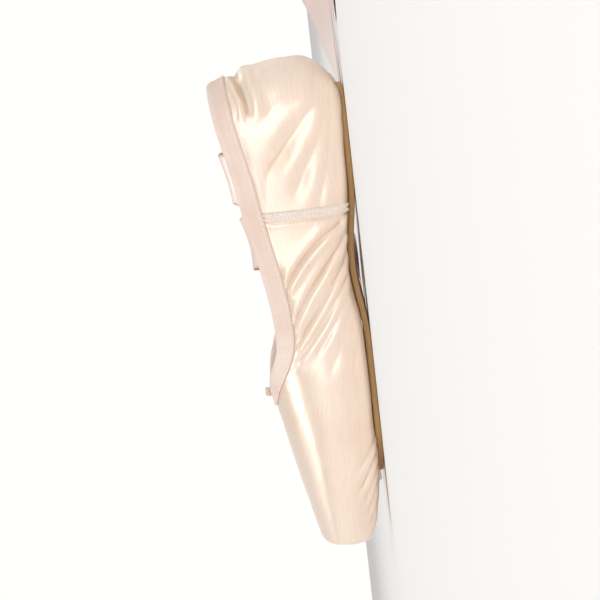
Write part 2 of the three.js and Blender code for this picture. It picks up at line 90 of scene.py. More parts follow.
def smooth(t: np.ndarray) -> np.ndarray:
    """A soft step from 0 at t = 0 to 1 at t = 1."""
    t = np.clip(t, 0.0, 1.0)
    return t * t * (3.0 - 2.0 * t)


def hump(t: np.ndarray) -> np.ndarray:
    """A bell of height 1 at t = 0."""
    return np.exp(-t * t)


def unit(v: np.ndarray) -> np.ndarray:
    """The vectors of the last axis, made one long."""
    return v / np.maximum(np.linalg.norm(v, axis=-1, keepdims=True), 1e-12)


def run_length(line: np.ndarray) -> np.ndarray:
    """Length along a line of points, at each point."""
    return np.concatenate([[0], np.cumsum(np.linalg.norm(np.diff(line, axis=0), axis=1))])


def sample(line: np.ndarray, run: np.ndarray, at: np.ndarray) -> np.ndarray:
    """The points of a line where its run reaches each value of `at`."""
    return np.stack([np.interp(at, run, line[:, k]) for k in range(3)], -1)


def eased(count: int) -> np.ndarray:
    """Places from 0 to 1, closer together at both ends."""
    return (1 - np.cos(np.pi * np.linspace(0, 1, count))) / 2


def halved(within: Callable[[np.ndarray], np.ndarray], far: np.ndarray, rounds: int) -> np.ndarray:
    """How far out a condition holds, found by halving.

    Args:
        within: Tells whether the condition holds at each distance.
        far: Distances at which it no longer holds.
        rounds: How often the search is halved.

    Returns:
        The greatest distances found at which it holds.
    """
    low = np.zeros_like(far)
    for _ in range(rounds):
        middle = (low + far) / 2
        held = within(middle)
        low, far = np.where(held, middle, low), np.where(held, far, middle)
    return low


class Spline:
    """A natural cubic spline through one column of a table, kept as a fine lookup."""

    STEP = 0.05

    def __init__(self, x: np.ndarray, y: np.ndarray) -> None:
        """Solves the spline and tabulates it.

        Args:
            x: Rising places.
            y: The value at each place.
        """
        n = len(x)
        rows = np.eye(n)
        right = np.zeros(n)
        for i in range(1, n - 1):
            before, after = x[i] - x[i - 1], x[i + 1] - x[i]
            rows[i, i - 1:i + 2] = before, 2 * (before + after), after
            right[i] = 6 * ((y[i + 1] - y[i]) / after - (y[i] - y[i - 1]) / before)
        bend = np.linalg.solve(rows, right)
        t = np.arange(x[0], x[-1] + self.STEP, self.STEP).clip(x[0], x[-1])
        i = np.clip(np.searchsorted(x, t, side="right") - 1, 0, n - 2)
        step = x[i + 1] - x[i]
        a = (x[i + 1] - t) / step
        b = 1 - a
        self.first = float(x[0])
        self.table = (
            a * y[i] + b * y[i + 1]
            + ((a**3 - a) * bend[i] + (b**3 - b) * bend[i + 1]) * step**2 / 6
        )

    def __call__(self, at: np.ndarray) -> np.ndarray:
        """The value at each place, held level past both ends."""
        place = np.clip((np.asarray(at) - self.first) / self.STEP, 0, len(self.table) - 1.001)
        i = place.astype(int)
        return self.table[i] + (place - i) * (self.table[i + 1] - self.table[i])


def rounded_min(a: np.ndarray, b: np.ndarray, r: float) -> np.ndarray:
    """The smaller of two depths, rounded to a radius where they meet."""
    corner = r - np.hypot(np.minimum(a, r) - r, np.minimum(b, r) - r)
    return np.where((a < r) & (b < r), corner, np.minimum(a, b))


@dataclass
class Last:
    """The form that the shoe is made on, with the outsole's outline under it."""

    PROBE = 0.05
    SETTLING = 8
    FLATTEST = 0.2

    thickness: float = 3.0
    gap: float = 0.3
    heel_centre: float = HEEL + 32
    heel_round: float = 2.3
    platform_edge: float = 3.5
    under_edge: float = 2.5
    quarter_wall: float = 1.6
    box_wall: float = 3.2
    box_from: float = THROAT - 10
    box_run: float = 40.0
    heel_end: float = HEEL + 14
    toe_end: float = HEEL + 199
    sole_heel_centre: float = HEEL + 31
    sole_toe_centre: float = HEEL + 166
    sole_toe_round: float = 2.2
    lasting: float = 7.0
    arch_from: float = HEEL + 58
    arch_length: float = 74.0
    arch_height: float = 3.5
    toe_spring_from: float = HEEL + 180
    toe_spring: float = 5.5
    heel_spring_to: float = HEEL + 20
    heel_spring: float = 0.8
    spine_toe: float = THROAT - 29
    spine_heel: float = HEEL + 36
    spine_height: float = 24.0
    toe_fan: float = 0.42
    heel_fan: float = 0.72

    def __post_init__(self) -> None:
        """Makes the splines of the tables."""
        names = ("half", "widest", "ridge", "cut", "low", "high")
        self.section = {n: Spline(SECTIONS[:, 0], SECTIONS[:, i + 1]) for i, n in enumerate(names)}
        self.topline, self.heel_forward, self.sole_width = (
            Spline(table[:, 0], table[:, 1]) for table in (TOPLINE, HEEL_CURVE, SOLE_WIDTHS)
        )

    def sole_rise(self, x: np.ndarray) -> np.ndarray:
        """Height of the outsole's underside at x: the arch, the toe spring and the heel spring."""
        x = np.asarray(x, float)
        arch = (x - self.arch_from) / self.arch_length
        toe = (x - self.toe_spring_from) / (PLATFORM - self.toe_spring_from)
        heel = (self.heel_spring_to - x) / (self.heel_spring_to - self.heel_end)
        rise = np.where((arch > 0) & (arch < 1), self.arch_height * np.sin(np.pi * arch) ** 2, 0.0)
        rise = np.where(toe > 0, self.toe_spring * toe**2, rise)
        return np.where(heel > 0, self.heel_spring * heel**2, rise)

    def wall(self, x: np.ndarray) -> np.ndarray:
        """Thickness of the upper's wall at x."""
        share = smooth((x - self.box_from) / self.box_run)
        return self.quarter_wall + (self.box_wall - self.quarter_wall) * share

    def depth(self, p: np.ndarray) -> np.ndarray:
        """Depth of points inside the last: 0 on its surface and negative outside."""
        x, y, z = p[..., 0], p[..., 1], p[..., 2]
        at = x - HEEL
        half, widest = self.section["half"](at), self.section["widest"](at)
        floor = self.thickness + self.gap + self.sole_rise(x)
        above = z > widest
        below = widest - floor + self.section["cut"](at)
        reach = np.where(above, self.section["ridge"](at) - widest, below)
        power = np.where(above, self.section["high"](at), self.section["low"](at))
        across = (np.abs(y) / half) ** power + (np.abs(z - widest) / reach) ** power
        behind = self.heel_centre - (HEEL + self.heel_forward(z))
        back = np.maximum(0, (self.heel_centre - x) / behind)
        bent = across ** (self.heel_round / power) + back**self.heel_round
        inside = (1 - bent ** (1 / self.heel_round)) * np.minimum(half, reach)
        body = rounded_min(inside, z - floor, self.under_edge)
        return rounded_min(body, PLATFORM - x, self.platform_edge)

    def outward(self, p: np.ndarray) -> np.ndarray:
        """The outward direction at points of the surface."""
        moves = np.eye(3) * self.PROBE
        return unit(np.stack([self.depth(p - move) - self.depth(p + move) for move in moves], -1))

    def settle(self, p: np.ndarray) -> np.ndarray:
        """Points near the surface, moved onto it."""
        for _ in range(self.SETTLING):
            normal = self.outward(p)
            move = self.PROBE * normal
            slope = (self.depth(p - move) - self.depth(p + move)) / (2 * self.PROBE)
            p = p + normal * (self.depth(p) / np.maximum(slope, self.FLATTEST))[..., None]
        return p

    def on_side(self, at: float, z: float, side: int) -> np.ndarray:
        """The surface point at a place and height, on the left (1) or right (-1)."""
        y = halved(lambda y: self.depth(np.array([HEEL + at, y, z])) > 0, np.array(60.0), 26)
        return np.array([HEEL + at, side * y, z])

    def sole_half(self, x: np.ndarray, margin: float = 0.0) -> np.ndarray:
        """Half width of the outsole at x, with an even margin taken off all round."""
        x = np.asarray(x, float)
        heel_end, toe_end = self.heel_end + margin, self.toe_end - margin
        heel = np.clip((self.sole_heel_centre - x) / (self.sole_heel_centre - heel_end), 0, 1)
        toe = np.clip((x - self.sole_toe_centre) / (toe_end - self.sole_toe_centre), 0, 1)
        power = self.sole_toe_round
        rounding = np.sqrt(1 - heel**2) * (1 - toe**power) ** (1 / power)
        return (self.sole_width(x - HEEL) - margin) * rounding

    def planes(self, turns: np.ndarray) -> tuple[np.ndarray, np.ndarray]:
        """The upright half planes at these turns, 0 at the toe and 1 at the back of the heel.

        Args:
            turns: Turns, negative on the right side.

        Returns:
            Where each plane starts on the spine, and its direction in plan.
        """
        t = np.abs(turns)
        share = np.clip((t - self.toe_fan) / (self.heel_fan - self.toe_fan), 0, 1)
        x = self.spine_toe + (self.spine_heel - self.spine_toe) * share
        angle = np.pi / 2 * np.minimum(t / self.toe_fan, 1)
        angle += np.pi / 2 * np.maximum(0, (t - self.heel_fan) / (1 - self.heel_fan))
        out = np.stack([np.cos(angle), np.sin(angle) * np.where(turns < 0, -1, 1)], -1)
        return x, out

    def hits(self, turns: np.ndarray, angles: np.ndarray) -> np.ndarray:
        """Surface points in planes, at angles from straight down (0) to straight up (pi).

        Args:
            turns: The planes' turns, one a column.
            angles: The angles, one a row.

        Returns:
            An array of columns by rows by three.
        """
        x, out = self.planes(turns)
        across, up = np.sin(angles)[None, :], -np.cos(angles)[None, :]

        def place(d: np.ndarray) -> np.ndarray:
            """The points at distances from the spine."""
            flat = across * d
            return np.stack([
                x[:, None] + out[:, :1] * flat, out[:, 1:] * flat, self.spine_height + up * d,
            ], -1)

        far = np.full((len(turns), len(angles)), 150.0)
        return place(halved(lambda d: self.depth(place(d)) > 0, far, 23))


@dataclass
class Pattern:
    """The upper's surface as upright profiles, from the turned-in rim up to the collar."""

    last: Last
    samples: int = 560
    trial_turns: int = 4001
    sharpest: float = 0.3

    def __post_init__(self) -> None:
        """Places the columns and finds every profile."""
        half = self._half_turns()
        self.turns = np.concatenate([half, -half[-2:0:-1]])
        angles = np.pi * np.arange(1, self.samples) / self.samples
        grid = self.last.hits(self.turns, angles)
        edges = self._rim()
        self.profiles = [self._profile(grid[i], i, edges[i]) for i in range(len(self.turns))]
        self.lengths = [run_length(p) for p in self.profiles]

    def _half_turns(self) -> np.ndarray:
        """Turns of one side's columns, close together at the toe, the wings and the seams."""
        turns = np.linspace(0, 1, self.trial_turns)
        outline = self.last.hits(turns, np.array([np.pi / 2]))[:, 0]
        x = outline[:, 0]
        at = x - HEEL
        spacing = 1.0 - 0.45 * smooth((at - 178) / 14) - 0.2 * smooth((34 - at) / 12)
        spacing -= 0.3 * hump((at - 108) / 26)
        spacing *= 1 - 0.6 * hump((x - SIDE_SEAM) / 2.6)
        spacing *= 1 - 0.55 * hump((1 - turns) / 0.016)
        steps = np.linalg.norm(np.diff(outline, axis=0), axis=1)
        cost = np.concatenate([[0], np.cumsum(steps / spacing[1:])])
        return np.interp(np.linspace(0, cost[-1], int(round(cost[-1])) + 1), cost, turns)

    def _rim(self) -> np.ndarray:
        """Distance from the spine to the turned-in rim, in each plane."""
        x, out = self.last.planes(self.turns)
        rear, front = self.last.heel_end + self.last.lasting, self.last.toe_end - self.last.lasting

        def within(reach: np.ndarray) -> np.ndarray:
            """Whether the rim's outline holds each distance."""
            place = x + out[:, 0] * reach
            half = self.last.sole_half(place, self.last.lasting)
            return (np.abs(out[:, 1] * reach) < half) & (place > rear) & (place < front)

        return halved(within, np.full(len(x), 120.0), 30)

    def _profile(self, line: np.ndarray, column: int, edge: float) -> np.ndarray:
        """One profile, cut at the turned-in rim and at the collar."""
        x, _ = self.last.planes(self.turns[column:column + 1])
        rho = np.hypot(line[:, 0] - x[0], line[:, 1])
        first = int(np.argmax(rho > edge))
        share = (edge - rho[first - 1]) / (rho[first] - rho[first - 1])
        start = line[first - 1] + share * (line[first] - line[first - 1])
        over = line[:, 2] - self.last.topline(line[:, 0] - HEEL)
        last = len(line) - 1
        while over[last] > 0:
            last -= 1
        share = over[last] / (over[last] - over[last + 1]) if last + 1 < len(line) else 0.0
        after = line[min(last + 1, len(line) - 1)]
        end = line[last] + share * (after - line[last])
        return np.vstack([start, line[first:last + 1], end])

    def rows(self, count: int, bend_weight: float = 7.0) -> np.ndarray:
        """Every profile at the same number of places, closer together round its bends.

        Args:
            count: Places on each profile.
            bend_weight: Millimetres of spacing that one radian of bend counts for.

        Returns:
            An array of columns by rows by three.
        """
        made = []
        for line, run in zip(self.profiles, self.lengths):
            heading = unit(np.diff(line, axis=0))
            turn = np.arccos(np.clip((heading[1:] * heading[:-1]).sum(1), -1, 1))
            cost = run.copy()
            cost[2:] += bend_weight * np.cumsum(np.minimum(turn, self.sharpest))
            made.append(sample(line, cost, np.linspace(0, cost[-1], count)))
        return np.array(made)

    def below(self, down: float) -> np.ndarray:
        """The point of every profile at a distance down from the collar's edge."""
        pairs = zip(self.profiles, self.lengths)
        return np.array([sample(line, run, run[-1] - down) for line, run in pairs])


class Spot(Enum):
    """How the numbers of a fold's points are read."""

    SIDE = "at and height, on the side"
    FREE = "at, y and height, moved onto the surface"


@dataclass(frozen=True)
class Fold:
    """One fold of the satin: a trough with a raised shoulder on each side.

    `puff` is the height of the shoulders, `lean` how much the upper one outdoes the lower,
    `ends` what is left of the fold at its start and finish, and `crest` how many widths
    the shoulders stand from the trough.
    """

    STEPS = 14
    FADE = 0.3

    points: tuple[tuple[float, ...], ...]
    width: float
    depth: float
    puff: float = 0.0
    lean: float = 0.0
    ends: tuple[float, float] = (0.0, 0.0)
    spot: Spot = Spot.SIDE
    crest: float = 2.5

    def path(self, last: Last, side: int, drift: float) -> np.ndarray:
        """The fold's line on the surface.

        Args:
            last: The form that it lies on.
            side: 1 for the left, -1 for the right.
            drift: Millimetres that it is moved forward.

        Returns:
            Points about a millimetre apart.
        """
        corners = [
            last.on_side(point[0] + drift, point[1], side) if self.spot is Spot.SIDE
            else np.array([HEEL + point[0] + drift, side * point[1], point[2]])
            for point in self.points
        ]
        return last.settle(catmull(np.array(corners), self.STEPS))

    def height(self, p: np.ndarray, normal: np.ndarray, line: np.ndarray, side: int) -> np.ndarray:
        """How far the fold raises (or sinks) each point.

        Args:
            p: The surface's points.
            normal: Their outward directions.
            line: The fold's line.
            side: 1 for the left, -1 for the right.

        Returns:
            Millimetres along the outward direction.
        """
        reach = 2.6 * self.crest * self.width + 1
        near = np.all((p > line.min(0) - reach) & (p < line.max(0) + reach), axis=1)
        raised = np.zeros(len(p))
        index = np.nonzero(near)[0]
        if not len(index):
            return raised
        q = p[index]
        best = np.full(len(q), 1e9)
        place, handed = np.zeros((2, len(q)))
        run = np.linspace(0, 1, len(line))
        for i in range(len(line) - 1):
            a, step = line[i], line[i + 1] - line[i]
            share = np.clip(((q - a) @ step) / (step @ step), 0, 1)
            offset = q - (a + share[:, None] * step)
            distance = np.linalg.norm(offset, axis=1)
            closer = distance < best
            best = np.where(closer, distance, best)
            place = np.where(closer, run[i] + share * (run[i + 1] - run[i]), place)
            turned = np.sign((np.cross(step, offset) * normal[index]).sum(1))
            handed = np.where(closer, turned, handed)
        start, finish = (
            least + (1 - least) * smooth(away / self.FADE)
            for least, away in zip(self.ends, (place, 1 - place))
        )
        past = np.exp(-((best / self.width) ** 1.35))
        shoulder = hump((best / self.width - self.crest) / (0.7 * self.crest))
        lean = 1 + self.lean * handed * side
        raised[index] = start * finish * (self.puff * shoulder * lean - self.depth * past)
        return raised


def extended(points: np.ndarray) -> np.ndarray:
    """Points with one more at each end, straight on."""
    return np.vstack([2 * points[0] - points[1], points, 2 * points[-1] - points[-2]])


def catmull(points: np.ndarray, between: int) -> np.ndarray:
    """A uniform Catmull-Rom curve through points.

    Args:
        points: The points that it passes.
        between: Steps from one point to the next.

    Returns:
        The curve's points.
    """
    ends = extended(points)
    t = np.linspace(0, 1, between, endpoint=False)[:, None]
    line = []
    for i in range(len(points) - 1):
        a, b, c, d = ends[i:i + 4]
        line.append(0.5 * (
            2 * b + (c - a) * t + (2 * a - 5 * b + 4 * c - d) * t**2
            + (3 * b - a - 3 * c + d) * t**3
        ))
    return np.vstack(line + [points[-1:]])


def wrap(rings: int, count: int, looped: bool) -> tuple[np.ndarray, np.ndarray]:
    """The quads that join ring after ring, each closed on itself.

    Args:
        rings: Number of rings.
        count: Points of a ring.
        looped: Whether the last ring joins the first.

    Returns:
        The ring and the point of every face's four corners, counted on past the last ones.
    """
    i, j = np.indices((rings if looped else rings - 1, count)).reshape(2, -1, 1)
    return i + [0, 0, 1, 1], j + [0, 1, 1, 0]


def ladder(first: int, count: int, flip: bool) -> np.ndarray:
    """Quads that close a thin ring by joining its two long sides.

    Args:
        first: Number of the ring's first vertex.
        count: Points of the ring, an even number.
        flip: Whether the faces are turned round.

    Returns:
        Vertex numbers, four a face.
    """
    j = np.arange(count // 2 - 1)
    faces = np.stack([j, j + 1, count - 2 - j, count - 1 - j], -1) + first
    return faces[:, ::-1] if flip else faces


def solid(name: str, rings: np.ndarray, looped: bool = False,
          uv: Optional[tuple[np.ndarray, np.ndarray]] = None,
          marks: Optional[dict[str, np.ndarray]] = None) -> bpy.types.Object:
    """A smooth closed mesh object of rings, with its faces pointing outwards.

    Args:
        name: The object's name.
        rings: Millimetres, as an array of rings by points by three.
        looped: Whether the last ring joins the first. If not, both ends are closed.
        uv: Place of each ring and of each point of a ring, with one more for the closing one.
        marks: Numbers kept on the vertices, by name.

    Returns:
        The object, linked to the scene.
    """
    count = rings.shape[1]
    ring, place = wrap(len(rings), count, looped)
    quads = ring % len(rings) * count + place % count
    if not looped:
        end = (len(rings) - 1) * count
        quads = np.vstack([quads, ladder(0, count, True), ladder(end, count, False)])
    points = rings.reshape(-1, 3)
    a, b, c, d = (points[quads[:, k]] for k in range(4))
    order = -1 if (np.cross(a, b) * c).sum() + (np.cross(a, c) * d).sum() < 0 else 1
    quads = quads[:, ::order]
    mesh = bpy.data.meshes.new(name)
    mesh.vertices.add(len(points))
    mesh.vertices.foreach_set("co", (points * MM).astype(np.float32).ravel())
    mesh.loops.add(quads.size)
    mesh.loops.foreach_set("vertex_index", quads.astype(np.int32).ravel())
    mesh.polygons.add(len(quads))
    mesh.polygons.foreach_set("loop_start", np.arange(0, quads.size, 4, dtype=np.int32))
    mesh.update(calc_edges=True)
    mesh.shade_smooth()
    if uv is not None:
        corners = np.full((len(quads), 4, 2), 0.5)
        corners[:len(ring)] = np.stack([uv[0][ring], uv[1][place]], -1)
        layer = mesh.uv_layers.new(name="UVMap")
        layer.data.foreach_set("uv", corners[:, ::order].astype(np.float32).ravel())
    for key, values in (marks or {}).items():
        mark = mesh.attributes.new(key, "FLOAT", "POINT")
        mark.data.foreach_set("value", values.astype(np.float32).ravel())
    return linked(name, mesh)


def linked(name: str, data: bpy.types.ID) -> bpy.types.Object:
    """A new object of some data, linked to the scene."""
    made = bpy.data.objects.new(name, data)
    bpy.context.scene.collection.objects.link(made)
    return made


# ---- finishes ----


class Tree:
    """A node tree, built by short calls."""

    PREFIX = ""

    def __init__(self, tree: bpy.types.NodeTree) -> None:
        """Takes the tree to build in."""
        self.tree = tree

    def put(self, node: bpy.types.Node, inputs: dict) -> None:
        """Sets or links a node's inputs by name or number."""
        for key, value in inputs.items():
            socket = node.inputs[key]
            if isinstance(value, bpy.types.NodeSocket):
                self.tree.links.new(value, socket)
            else:
                socket.default_value = value

    def node(self, kind: str, inputs: Optional[dict] = None, **settings: object) -> bpy.types.Node:
        """Adds a node.

        Args:
            kind: The node's type, without the tree's prefix.
            inputs: Values or sockets by input name or number.
            settings: The node's own properties.

        Returns:
            The node.
        """
        made = self.tree.nodes.new(self.PREFIX + kind)
        for key, value in settings.items():
            setattr(made, key, value)
        self.put(made, inputs or {})
        return made


class Shader(Tree):
    """A material's node tree."""

    PREFIX = "ShaderNode"

    def __init__(self, name: str) -> None:
        """Makes the material with its Principled BSDF."""
        self.material = bpy.data.materials.new(name)
        self.material.use_nodes = True
        super().__init__(self.material.node_tree)
        self.bsdf = self.tree.nodes["Principled BSDF"]

    def place(self, scale: Sequence[float] = (1, 1, 1), uv: bool = False) -> bpy.types.NodeSocket:
        """Object or UV coordinates, scaled."""
        coords = self.node("TexCoord").outputs["UV" if uv else "Object"]
        return self.node("Mapping", {"Vector": coords, "Scale": scale}).outputs[0]

    def noise(self, scale: float, detail: float = 3, vector: object = None) -> bpy.types.NodeSocket:
        """Noise from 0 to 1 on Object coordinates or a vector."""
        where = vector if vector is not None else self.place()
        inputs = {"Vector": where, "Scale": scale, "Detail": detail, "Roughness": 0.55}
        return self.node("TexNoise", inputs).outputs["Fac"]

    def math(self, operation: str, a: object, b: object = 0.0) -> bpy.types.NodeSocket:
        """One sum of two numbers or sockets."""
        return self.node("Math", {0: a, 1: b}, operation=operation).outputs[0]

    def span(self, value: object, low: float, high: float, to: tuple[float, float] = (0, 1)
             ) -> bpy.types.NodeSocket:
        """A value carried from one range to another, smoothly and held at the ends."""
        inputs = {"Value": value, "From Min": low, "From Max": high}
        inputs.update({"To Min": to[0], "To Max": to[1]})
        return self.node("MapRange", inputs, interpolation_type="SMOOTHSTEP").outputs[0]

    def blend(self, factor: object, *colours: object) -> bpy.types.NodeSocket:
        """A mix of two colours."""
        a, b = (c if isinstance(c, bpy.types.NodeSocket) else (*c, 1) for c in colours)
        return self.node("Mix", {0: factor, 6: a, 7: b}, data_type="RGBA").outputs[2]

    def mark(self, name: str) -> bpy.types.NodeSocket:
        """A number kept on the mesh."""
        return self.node("Attribute", attribute_name=name).outputs["Fac"]

    def bump(self, height: object, distance: float, strength: float = 1.0,
             under: object = None) -> bpy.types.NodeSocket:
        """A bumped normal, laid over another one if given."""
        inputs = {"Height": height, "Distance": distance, "Strength": strength}
        if under is not None:
            inputs["Normal"] = under
        return self.node("Bump", inputs).outputs[0]


@dataclass(frozen=True)
class SatinFinish:
    """Satin: long smooth floats, with a warm painted shade in its folds."""

    name: str
    light: tuple[float, float, float]
    middle: tuple[float, float, float]
    shade: tuple[float, float, float]
    roughness: tuple[float, float] = (0.28, 0.36)
    anisotropy: float = 0.6
    streak: float = 1.0
    selvedge: bool = False
    lustre: float = 0.3

    def material(self) -> bpy.types.Material:
        """Builds the material."""
        s = Shader(self.name)
        cloud = s.span(s.noise(26, 2), 0.32, 0.68)
        threads = s.noise(60, 3, s.place((0.16, 1.25, 1), uv=True))
        colour = s.blend(cloud, self.middle, self.light)
        colour = s.blend(s.span(threads, 0.35, 0.7, (0, 0.14)), colour, self.shade)
        # Painted shade: the colour turns towards the shade colour in the folds' troughs, following
        # the mesh's fold mark.
        colour = s.blend(s.span(s.mark("fold"), 0.0, 1.0, (0, 0.75)), colour, self.shade)
        rough = s.span(s.noise(90, 3), 0.3, 0.7, self.roughness)
        normal = s.bump(threads, 0.00005 * self.streak)
        if self.selvedge:
            across = s.node("SeparateXYZ", {0: s.node("TexCoord").outputs["UV"]}).outputs[1]
            edge = s.span(s.math("ABSOLUTE", s.math("SUBTRACT", across, 0.5)), 0.445, 0.47)
            colour = s.blend(s.math("MULTIPLY", edge, 0.35), colour, self.shade)
            ribs = s.math("SINE", s.math("MULTIPLY", across, 2 * math.pi * 60))
            normal = s.bump(s.math("MULTIPLY", ribs, edge), 0.00006, under=normal)
        tangent = s.node("Tangent", direction_type="UV_MAP", uv_map="UVMap").outputs[0]
        s.put(s.bsdf, {
            "Base Color": colour, "Roughness": rough, "Normal": normal, "Tangent": tangent,
            "Anisotropic": self.anisotropy, "Sheen Weight": 0.06, "Sheen Roughness": 0.4,
            "Specular IOR Level": 0.7, "Coat Weight": 0.08, "Coat Roughness": 0.25,
            "Metallic": self.lustre,
        })
        return s.material


@dataclass(frozen=True)
class ClothFinish:
    """A plain woven cotton: tape, lining or sock."""

    name: str
    light: tuple[float, float, float]
    shade: tuple[float, float, float]
    yarn: float = 0.7
    relief: float = 0.00008
    roughness: float = 0.85
    level: bool = False

    def material(self) -> bpy.types.Material:
        """Builds the material."""
        s = Shader(self.name)
        apart = s.node("SeparateXYZ", {0: s.node("TexCoord").outputs["Object"]})
        turns = 2 * math.pi / (self.yarn * MM)
        one, other = s.math("ADD", apart.outputs[0], apart.outputs[1]), apart.outputs[2]
        if self.level:
            one, other = apart.outputs[0], apart.outputs[1]
        warp, weft = (s.math("SINE", s.math("MULTIPLY", way, turns)) for way in (one, other))
        weave = s.math("MULTIPLY", warp, weft)
        cloud = s.span(s.noise(38, 3), 0.3, 0.7)
        colour = s.blend(cloud, self.shade, self.light)
        colour = s.blend(s.span(weave, -1, 1, (0.12, 0)), colour, self.shade)
        normal = s.bump(weave, self.relief)
        normal = s.bump(s.noise(1500, 3), self.relief * 0.7, under=normal)
        s.put(s.bsdf, {
            "Base Color": colour, "Roughness": self.roughness, "Normal": normal,
            "Sheen Weight": 0.25, "Sheen Roughness": 0.5, "Specular IOR Level": 0.3,
        })
        return s.material


@dataclass(frozen=True)
class LeatherFinish:
    """Vegetable-tanned sole leather, burnished at its edge and where it is pressed."""

    name: str = "sole_leather"
    light: tuple[float, float, float] = (0.66, 0.46, 0.24)
    middle: tuple[float, float, float] = (0.55, 0.35, 0.15)
    dark: tuple[float, float, float] = (0.30, 0.16, 0.05)
    edge: tuple[float, float, float] = (0.56, 0.35, 0.15)

    def material(self) -> bpy.types.Material:
        """Builds the material."""
        s = Shader(self.name)
        cloud = s.span(s.noise(34, 4), 0.3, 0.7)
        colour = s.blend(cloud, self.middle, self.light)
        fibres = s.noise(220, 4, s.place((0.35, 1, 1)))
        colour = s.blend(s.span(fibres, 0.35, 0.75, (0, 0.3)), colour, self.dark)
        colour = s.blend(s.span(s.mark("press"), 0.1, 1.0, (0, 0.62)), colour, self.dark)
        colour = s.blend(s.span(s.mark("rim"), 0.2, 0.9, (0, 0.9)), colour, self.edge)
        grain = s.node("TexVoronoi", {"Vector": s.place(), "Scale": 900}).outputs["Distance"]
        normal = s.bump(grain, 0.0001, 0.6)
        normal = s.bump(s.noise(240, 4), 0.00015, 0.5, under=normal)
        s.put(s.bsdf, {
            "Base Color": colour, "Roughness": s.span(cloud, 0, 1, (0.5, 0.62)), "Normal": normal,
            "Specular IOR Level": 0.4,
        })
        return s.material


@dataclass(frozen=True)
class ThreadFinish:
    """Waxed sewing thread with its twist."""

    name: str
    colour: tuple[float, float, float]
    shade: tuple[float, float, float]
    roughness: float = 0.55

    def material(self) -> bpy.types.Material:
        """Builds the material."""
        s = Shader(self.name)
        twist = s.noise(1400, 2)
        colour = s.blend(s.span(twist, 0.35, 0.65), self.shade, self.colour)
        s.put(s.bsdf, {
            "Base Color": colour, "Roughness": self.roughness, "Normal": s.bump(twist, 0.00008),
            "Sheen Weight": 0.2,
        })
        return s.material


@dataclass(frozen=True)
class StudioFinish:
    """The floor's paper, with hardly any texture."""

    name: str = "paper"
    colour: tuple[float, float, float] = (0.93, 0.925, 0.92)

    def material(self) -> bpy.types.Material:
        """Builds the material."""
        s = Shader(self.name)
        tone = s.span(s.noise(3, 2), 0.3, 0.7, (0, 0.05))
        paler = tuple(0.97 * c for c in self.colour)
        s.put(s.bsdf, {
            "Base Color": s.blend(tone, self.colour, paler), "Roughness": 0.9,
            "Specular IOR Level": 0.1,
        })
        return s.material


SATIN = SatinFinish("upper_satin", (0.96, 0.81, 0.69), (0.93, 0.765, 0.635), (0.68, 0.45, 0.28))
RIBBON_SATIN = SatinFinish("ribbon_satin", (0.95, 0.81, 0.745), (0.92, 0.77, 0.70),
                           (0.70, 0.49, 0.42), (0.34, 0.46), 0.5, 0.7, True)
TAPE = ClothFinish("binding_tape", (0.96, 0.80, 0.71), (0.90, 0.71, 0.61))
SEAM_TAPE = ClothFinish("seam_tape", (0.98, 0.91, 0.84), (0.95, 0.84, 0.75))
LINING = ClothFinish("cotton_lining", (0.82, 0.66, 0.57), (0.72, 0.54, 0.44), 0.9, 0.00012)
SOCK = ClothFinish("sock_canvas", (0.86, 0.73, 0.62), (0.74, 0.59, 0.48), 1.1, 0.00014, 0.9, True)
CREAM_THREAD = ThreadFinish("cream_thread", (0.92, 0.84, 0.72), (0.80, 0.69, 0.55))
PALE_THREAD = ThreadFinish("pale_thread", (0.96, 0.90, 0.84), (0.86, 0.75, 0.67))


def dress(piece: bpy.types.Object, slot: str, *materials: bpy.types.Material) -> None:
    """Gives a piece its materials and lets it ride on the shoe.

    Args:
        piece: The piece.
        slot: Not used.
        materials: The piece's materials, in the order of its slots.
    """
    piece.data.materials.clear()
    for material in materials:
        piece.data.materials.append(material)
    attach(piece, BODY)
    LOG.info("%s: %d faces", piece.name, len(piece.data.polygons))


# ---- stitches ----


